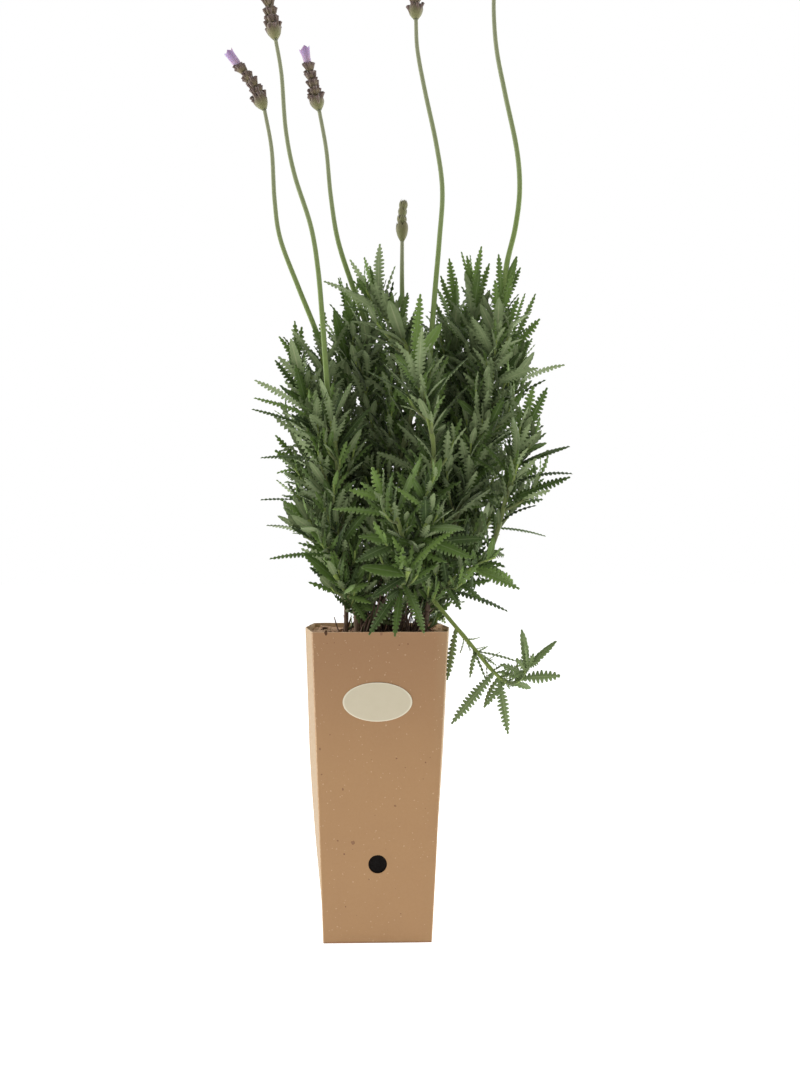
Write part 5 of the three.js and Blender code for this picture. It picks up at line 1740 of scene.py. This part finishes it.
class LAVENDER_OT_leafy_shoots(bpy.types.Operator):
    """The leafy shoots: the solids' leaves made fine, with small leaves and side shoots"""

    bl_idname = "lavender.leafy_shoots"
    bl_label = "Leafy shoots"

    def execute(self, context):
        sizes, stems = context.scene.lavender_leaves, context.scene.lavender_stems
        green = stem_material("green stem", stems, stems.shoot_base, stems.shoot_tip)
        materials = [green, leaf_material(sizes, stems)]
        thicket = Thicket(sizes.leaf_room / MM)
        shoots = []
        for number, facts in SHOOTS.items():
            shoot = dict(facts, number=number, route=Route(facts["route"]))
            shoot["grown"] = solid_leaves(shoot)
            random = np.random.default_rng(YOUNG_SEED + number)
            for chosen in YOUNG_LEAVES.get(number, ()):
                leaf = finish_leaf(tip_leaf(shoot, chosen, (0, 1)), random, age=0.4)
                shoot["grown"].append(leaf)
            for leaf in shoot["grown"]:
                thicket.take(leaf)
            shoots.append(shoot)
        thicket.close_outline()
        for shoot in shoots:
            self.fill(shoot, thicket, sizes)
        low = self.low_sprigs(thicket, sizes)
        add_piece("low_sprigs", low.mesh("low_sprigs", crisp=75), materials, "leafy_shoot")
        for shoot in shoots:
            name = f"leafy_sprig_{shoot['number']:02}"
            mesh = self.sprig(shoot, sizes).mesh(name, crisp=75)
            add_piece(name, mesh, materials, "leafy_shoot", solid_of(shoot))
        return {"FINISHED"}

    def fill(self, shoot, thicket, sizes):
        """Small leaves along the shoot, and short side shoots with leaves of their own."""
        random = np.random.default_rng(FILL_SEED + shoot["number"])
        route, turn, trails = shoot["route"], shoot["turn"], "trails" in shoot
        near = shoot.get("near", NEAR)
        longest, bare = (SMALL_TRAILING, 30) if trails else (SMALL, 9)
        base = route.length - bare
        for around in (turn, turn + 45) if "near" in shoot else (turn,):
            shoot["grown"] += grow_between(
                route, around, thicket, sizes, random, longest, FIRST_SMALL, base, near
            )
        shoot["twigs"] = []
        if trails:
            return
        for step, distance in enumerate(np.arange(24, route.length - 6, sizes.twig_spacing / MM)):
            around = turn + 90 * step + 180 * random.integers(2) + random.uniform(-30, 30)
            length = min(58, random.uniform(14, 16 + 0.3 * distance))
            twig = twig_from(route, distance, around, random.uniform(28, 52), length)
            if not thicket.holds(twig.at(1.0), near):
                continue
            reach = twig.length - 2
            leaves = grow_between(
                twig, around, thicket, sizes, random, SMALL_ON_TWIG, FIRST_ON_TWIG, reach, near
            )
            if len(leaves) > 2:
                shoot["twigs"].append(twig)
                shoot["grown"] += leaves

    def low_sprigs(self, thicket, sizes):
        """Short leafy twigs on the woody stems, low down in the bush."""
        random = np.random.default_rng(LOW_SEED)
        shell = Shell()
        grown = []
        for _, points in WOODY.values():
            wood = Route(points)
            for distance in np.arange(6, wood.length - 12, 3.5):
                around, pitch = random.uniform(0, 360), random.uniform(40, 75)
                twig = twig_from(wood, distance, around, pitch, random.uniform(12, 32))
                x, _, z = tip = twig.at(1.0)
                bare = x < -20 and z < 242  # the foot of the plant is bare at the left
                if bare or not thicket.holds(tip, NEAR_LOW):
                    continue
                reach = twig.length - 1
                leaves = grow_between(
                    twig, around, thicket, sizes, random, SMALL_LOW, FIRST_ON_TWIG, reach, NEAR_LOW
                )
                if len(leaves) > 2:
                    add_stem(shell, twig, LOW_TWIG_RADIUS, 8, SHOOT_SECTION, ((0, 1),))
                    grown += leaves
        shell.skin = 1
        for leaf in grown:
            add_leaf(shell, leaf, sizes)
        return shell

    def sprig(self, shoot, sizes):
        """The shoot's stem, its side shoots and all its leaves. The trailing branch is woollier."""
        shell = Shell()
        route, trails = shoot["route"], "trails" in shoot
        tones = ((0.6 if trails else 0, 1),)
        knots = route.length - np.arange(TIP_GAP, route.length - 5, PAIR_SPACING)
        steps = round(route.length / 2.4)
        radii = np.array(SHOOT_RADIUS) * (0.82 if trails else 1)
        add_stem(shell, route, radii, steps, SHOOT_SECTION, tones, lumps=0.18, knots=knots)
        for twig in shoot["twigs"]:
            add_stem(shell, twig, TWIG_RADIUS, 8, SHOOT_SECTION, tones)
        shell.skin = 1
        for leaf in shoot["grown"]:
            if trails:
                leaf.update(tint=0.6 + 0.4 * leaf["tint"], age=max(0.35, leaf["age"]), woolly=0.6)
            add_leaf(shell, leaf, sizes)
        return shell


class LAVENDER_OT_flower_stalks(bpy.types.Operator):
    """The square flower stalks"""

    bl_idname = "lavender.flower_stalks"
    bl_label = "Flower stalks"

    def execute(self, context):
        stems = context.scene.lavender_stems
        material = stem_material("flower stalk", stems, stems.stalk_base, stems.stalk_tip)
        for number, points in STALKS.items():
            route = Route(points)
            shell = Shell()
            steps = round(route.length / 2.2)
            add_stem(shell, route, STALK_RADIUS, steps, STALK_SECTION, ((0, 1),))
            name, node = f"square_stalk_{number}", f"flower_stalk_{number}"
            add_piece(name, shell.mesh(name), [material], "flower_stalk", node)
        return {"FINISHED"}


def add_scale(shell, centre, axes, angle, length, half_at, reach_at, rows, tint, high, thick):
    """A bract or petal wrapped round an axis. At a share s of its length its middle lies
    reach_at(s) from the axis and its edges half_at(s) to each side, measured round the axis. Its
    section is a thin lens, so it is one closed body."""
    along, side, back = axes
    s = np.linspace(0, 1, rows)[:, None]
    u = np.array([-1, -0.55, 0, 0.55, 1, 0.55, 0, -0.55])
    skin = np.array([0, 0.8, 1, 0.8, 0, -0.8, -1, -0.8]) * thick / 2
    reach, half = reach_at(s), half_at(s)
    swing = angle + u * half / np.maximum(reach, 0.8)
    out = reach + skin * np.sin(np.pi * np.clip(s * 0.9 + 0.08, 0, 1)) - 0.05 * half * u**2
    flat = side * np.cos(swing)[..., None] + back * np.sin(swing)[..., None]
    rings = centre + flat * out[..., None] + along * (s * length)[..., None]
    tones = np.zeros((rows, 8, 4))
    for channel, tone in enumerate((s, np.abs(u), tint, high)):
        tones[..., channel] = tone
    add_closed(shell, rings, tones)


class LAVENDER_OT_flower_spikes(bpy.types.Operator):
    """The spikes: cups of bracts with calyces between them, and a lilac tuft on each open one"""

    bl_idname = "lavender.flower_spikes"
    bl_label = "Flower spikes"

    def execute(self, context):
        looks = context.scene.lavender_flowers
        bracts, petals = bract_material(looks), petal_material(looks)
        for number, spike in SPIKES.items():
            name = f"bract_spike_{number}"
            mesh = self.head(spike, SPIKE_SEED + number).mesh(name, crisp=80)
            add_piece(name, mesh, [bracts], "flower_spike", f"flower_spike_{number}")
            if "bud" in spike:
                continue
            name = f"petal_tuft_{number}"
            mesh = self.tuft(spike, TUFT_SEED + number).mesh(name, crisp=80)
            add_piece(name, mesh, [petals], "lilac_tuft", f"lilac_tuft_{number}")
        return {"FINISHED"}

    def head(self, spike, seed):
        """Cups one above the other, the lowest the broadest and tallest, round a slim core."""
        random = np.random.default_rng(seed)
        route = Route(spike["path"])
        rings, core, bud = spike["rings"], spike["width"] * 0.17, "bud" in spike
        rise = route.length / (rings - 1 + LOWEST_CUP + 0.2)
        shell = Shell()
        add_stem(shell, route, (core * 0.95, core * 0.8), 8, ROUND_SECTION, ((0.2, 0.2),))
        for ring in range(rings):
            lowest = ring == 0
            t = (0 if lowest else rise * (ring - 1 + LOWEST_CUP)) / route.length
            share = ring / (rings - 1)
            slimmer = 1 if lowest else 1.04 * spike["taper"] * (1 - 0.22 * share)
            reach = spike["width"] / 2 * slimmer
            cup = dict(
                axes=route.axes(t), centre=route.at(t), core=core, reach=reach, bud=bud,
                tall=rise * (LOWEST_CUP if lowest else 1),
                ripe=0 if bud else 0.4 + 0.6 * min(1, ring), closing=share if bud else 0.5,
            )
            for k in range(BRACTS):
                angle = np.pi * (2 * k + 1 - ring % 2) / BRACTS + FIRST_BRACT
                self.bract(shell, random, cup, angle, broad=reach * (0.62 if lowest else 0.52))
            for k in range(0 if bud else CALYCES):
                angle = 2 * np.pi * (k + random.uniform(0.3, 0.7)) / CALYCES
                self.calyx(shell, random, cup, angle, (0.3, 0.75) if lowest else (-0.15, 0.4))
        return shell

    def bract(self, shell, random, cup, angle, broad):
        """A spade-like bract that spreads to the full reach and closes over the core again."""
        wobble = random.uniform(0.92, 1.06)
        length = cup["tall"] * (1.55 if cup["bud"] else 1.12) * wobble
        foot = cup["core"] * 0.8
        far = cup["reach"] * wobble

        def reach_at(s):
            spread = foot + (far - foot) * (1 - (1 - s) ** 2.4)
            return spread * (1 - (0.22 + 0.4 * cup["closing"]) * s**3)

        def half_at(s):
            swell = 0.5 + 0.6 * np.sin(np.pi * np.clip(s * 0.95, 0, 1))
            return np.maximum(broad * swell * (1 - s**5), 0.12)

        angle += random.uniform(-0.1, 0.1)
        tint = random.random()
        add_scale(
            shell, cup["centre"], cup["axes"], angle, length, half_at, reach_at,
            rows=7, tint=tint, high=cup["ripe"], thick=0.45,
        )

    def calyx(self, shell, random, cup, angle, levels):
        """A ribbed tube between the bracts, from the core out past their edges. It starts between
        two levels of the cup."""
        along, side, back = cup["axes"]
        out = side * math.cos(angle) + back * math.sin(angle)
        around = np.cross(along, out)
        lean = math.radians(random.uniform(6, 28))
        ahead = along * math.cos(lean) + out * math.sin(lean)
        across = np.cross(around, ahead)
        long = random.uniform(4.6, 6.0)
        high = cup["tall"] * random.uniform(*levels)
        inset = cup["reach"] * 0.78 - long * math.sin(lean) * 0.62
        foot = cup["centre"] + along * high + out * inset
        s = np.array([0, 0.2, 0.75, 1.0, 0.93])
        thick = np.array([0.45, 0.85, 1.05, 1.25, 0.6]) * random.uniform(0.85, 1.1)
        turn = 2 * np.pi * np.arange(8) / 8
        ribbed = thick[:, None] * (1 + 0.12 * np.cos(4 * turn))
        rings = foot + (ahead * (s * long)[:, None])[:, None]
        rings = rings + around * (ribbed * np.cos(turn))[..., None]
        rings = rings + across * (ribbed * np.sin(turn))[..., None]
        tones = np.zeros((5, 8, 4))
        tones[..., 0] = (0.35 + 0.65 * s)[:, None]
        tones[..., 1] = 0.3 * (1 + np.cos(4 * turn))
        tones[..., 2:] = 0.1, 1
        add_closed(shell, rings, tones)

    def tuft(self, spike, seed):
        """Five broad petals that flare from a wide foot, and three shorter ones inside them. Their
        ends are lobed and bent."""
        random = np.random.default_rng(seed)
        route = Route(spike["path"])
        axes = route.axes(1.0)
        parity = spike["rings"] % 2
        shell = Shell()
        for k in range(BRACTS + 3):
            inner = k >= BRACTS
            angle = np.pi * (2 * k + 1 - parity) / BRACTS + FIRST_BRACT + (0.5 if inner else 0)
            length = PETAL_LENGTH * (0.8 if inner else 1.12) * random.uniform(0.84, 1.0)
            far = random.uniform(1.6, 2.4) if inner else random.uniform(2.7, 4.2)
            phase = random.uniform(0, 6.3)
            foot = route.at(1.0) - axes[0] * random.uniform(2.0, 3.4)

            def reach_at(s):
                return 2.4 + (far - 2.4) * s**1.3 + 0.5 * np.sin(5 * s + phase) * s

            def half_at(s):
                body = 1.6 + 2.0 * np.sin(np.pi * np.clip(s, 0, 1) ** 1.5 * 0.9) ** 0.8
                return np.maximum(body * (1 - s**9), 0.15)

            tint = random.random()
            add_scale(
                shell, foot, axes, angle, length, half_at, reach_at,
                rows=11, tint=tint, high=0, thick=0.3,
            )
        return shell


# ---- stage -----------------------------------------------------------------------------------


def plain_material(name, shade, glow):
    """A plain matt material that gives off light of its own, so that the floor stays pale."""
    material = bpy.data.materials.new(name)
    material.use_nodes = True
    shader = material.node_tree.nodes["Principled BSDF"]
    shader.inputs["Base Color"].default_value = (shade, shade, shade, 1)
    shader.inputs["Roughness"].default_value = 0.9
    shader.inputs["Emission Color"].default_value = (1, 1, 1, 1)
    shader.inputs["Emission Strength"].default_value = glow
    return material


def add_area_light(name, place, target, width, height, power):
    light = bpy.data.lights.new(name, "AREA")
    light.shape, light.size, light.size_y, light.energy = "RECTANGLE", width, height, power
    lamp = bpy.data.objects.new(name, light)
    lamp.location = place
    lamp.rotation_euler = (Vector(target) - Vector(place)).to_track_quat("-Z", "Y").to_euler()
    bpy.context.scene.collection.objects.link(lamp)


class LAVENDER_OT_stage(bpy.types.Operator):
    """A pale floor, soft studio light and the camera"""

    bl_idname = "lavender.stage"
    bl_label = "Stage"

    def execute(self, context):
        looks = context.scene.lavender_stage
        self.camera(looks)
        self.light(looks)
        reach = 6.0
        mesh = bpy.data.meshes.new("floor")
        corners = [(-reach, -reach, 0), (reach, -reach, 0), (reach, reach, 0), (-reach, reach, 0)]
        mesh.from_pydata(corners, [], [(0, 1, 2, 3)])
        mesh.materials.append(plain_material("pale floor", 0.6, 0.95))
        floor = bpy.data.objects.new("floor", mesh)
        context.scene.collection.objects.link(floor)
        return {"FINISHED"}

    def camera(self, looks):
        """Level, in front of the box and a little to the right, turned by the yaw."""
        data = bpy.data.cameras.new("camera")
        data.lens, data.sensor_width, data.clip_start = looks.lens, 36, 0.01
        camera = bpy.data.objects.new("camera", data)
        bpy.context.scene.collection.objects.link(camera)
        ahead = Vector((math.sin(looks.yaw), math.cos(looks.yaw), 0))
        right = Vector((math.cos(looks.yaw), -math.sin(looks.yaw), 0))
        up = Vector((0, 0, 1))
        camera.location = ahead * -looks.distance + right * looks.right + up * looks.height
        camera.rotation_euler = (math.radians(90), 0, -looks.yaw)
        bpy.context.scene.camera = camera

    def light(self, looks):
        """A white surround, plain white to the camera, with large soft lights at both sides."""
        scene = bpy.context.scene
        scene.view_settings.view_transform = "Standard"
        world = bpy.data.worlds.new("white surround")
        world.use_nodes = True
        nodes = Nodes(world.node_tree)
        background = world.node_tree.nodes["Background"].inputs
        background["Color"].default_value = (1, 1, 1, 1)
        seen = nodes.add("ShaderNodeLightPath").outputs["Is Camera Ray"]
        nodes.join(nodes.ramp(seen, 0, 1, looks.sky, 1.0), background["Strength"])
        scene.world = world
        middle = (0, 0, 0.3)
        add_area_light("left light", (-1.3, 0.15, 0.75), middle, 0.9, 1.4, looks.sides)
        add_area_light("right light", (1.3, 0.35, 0.75), middle, 0.9, 1.4, looks.sides)
        add_area_light("top light", (0, 0.1, 1.7), middle, 1.2, 1.2, looks.top)
        add_area_light("front light", (-0.5, -1.8, 0.9), middle, 1.2, 1.2, looks.front)


class LAVENDER_PT_panel(bpy.types.Panel):
    """Lists the pieces and their sizes and colours"""

    bl_idname = "LAVENDER_PT_panel"
    bl_label = "Potted lavender"
    bl_space_type = "VIEW_3D"
    bl_region_type = "UI"
    bl_category = "Lavender"

    def draw(self, context):
        for operator in OPERATORS:
            self.layout.operator(operator.bl_idname)
        for key, group in LOOKS.items():
            box = self.layout.box()
            box.label(text=group.__doc__)
            for name in group.__annotations__:
                box.prop(getattr(context.scene, key), name)


OPERATORS = (
    LAVENDER_OT_stage,
    LAVENDER_OT_box,
    LAVENDER_OT_label,
    LAVENDER_OT_soil,
    LAVENDER_OT_woody_stems,
    LAVENDER_OT_leafy_shoots,
    LAVENDER_OT_flower_stalks,
    LAVENDER_OT_flower_spikes,
)


def register():
    for group in (*LOOKS.values(), *OPERATORS, LAVENDER_PT_panel):
        bpy.utils.register_class(group)
    for key, group in LOOKS.items():
        setattr(bpy.types.Scene, key, bpy.props.PointerProperty(type=group))


def unregister():
    for key in LOOKS:
        delattr(bpy.types.Scene, key)
    for group in (LAVENDER_PT_panel, *reversed(OPERATORS), *reversed(LOOKS.values())):
        bpy.utils.unregister_class(group)


def main():
    register()
    for operator in OPERATORS:
        category, name = operator.bl_idname.split(".")
        getattr(getattr(bpy.ops, category), name)()


if __name__ == "__main__":
    main()
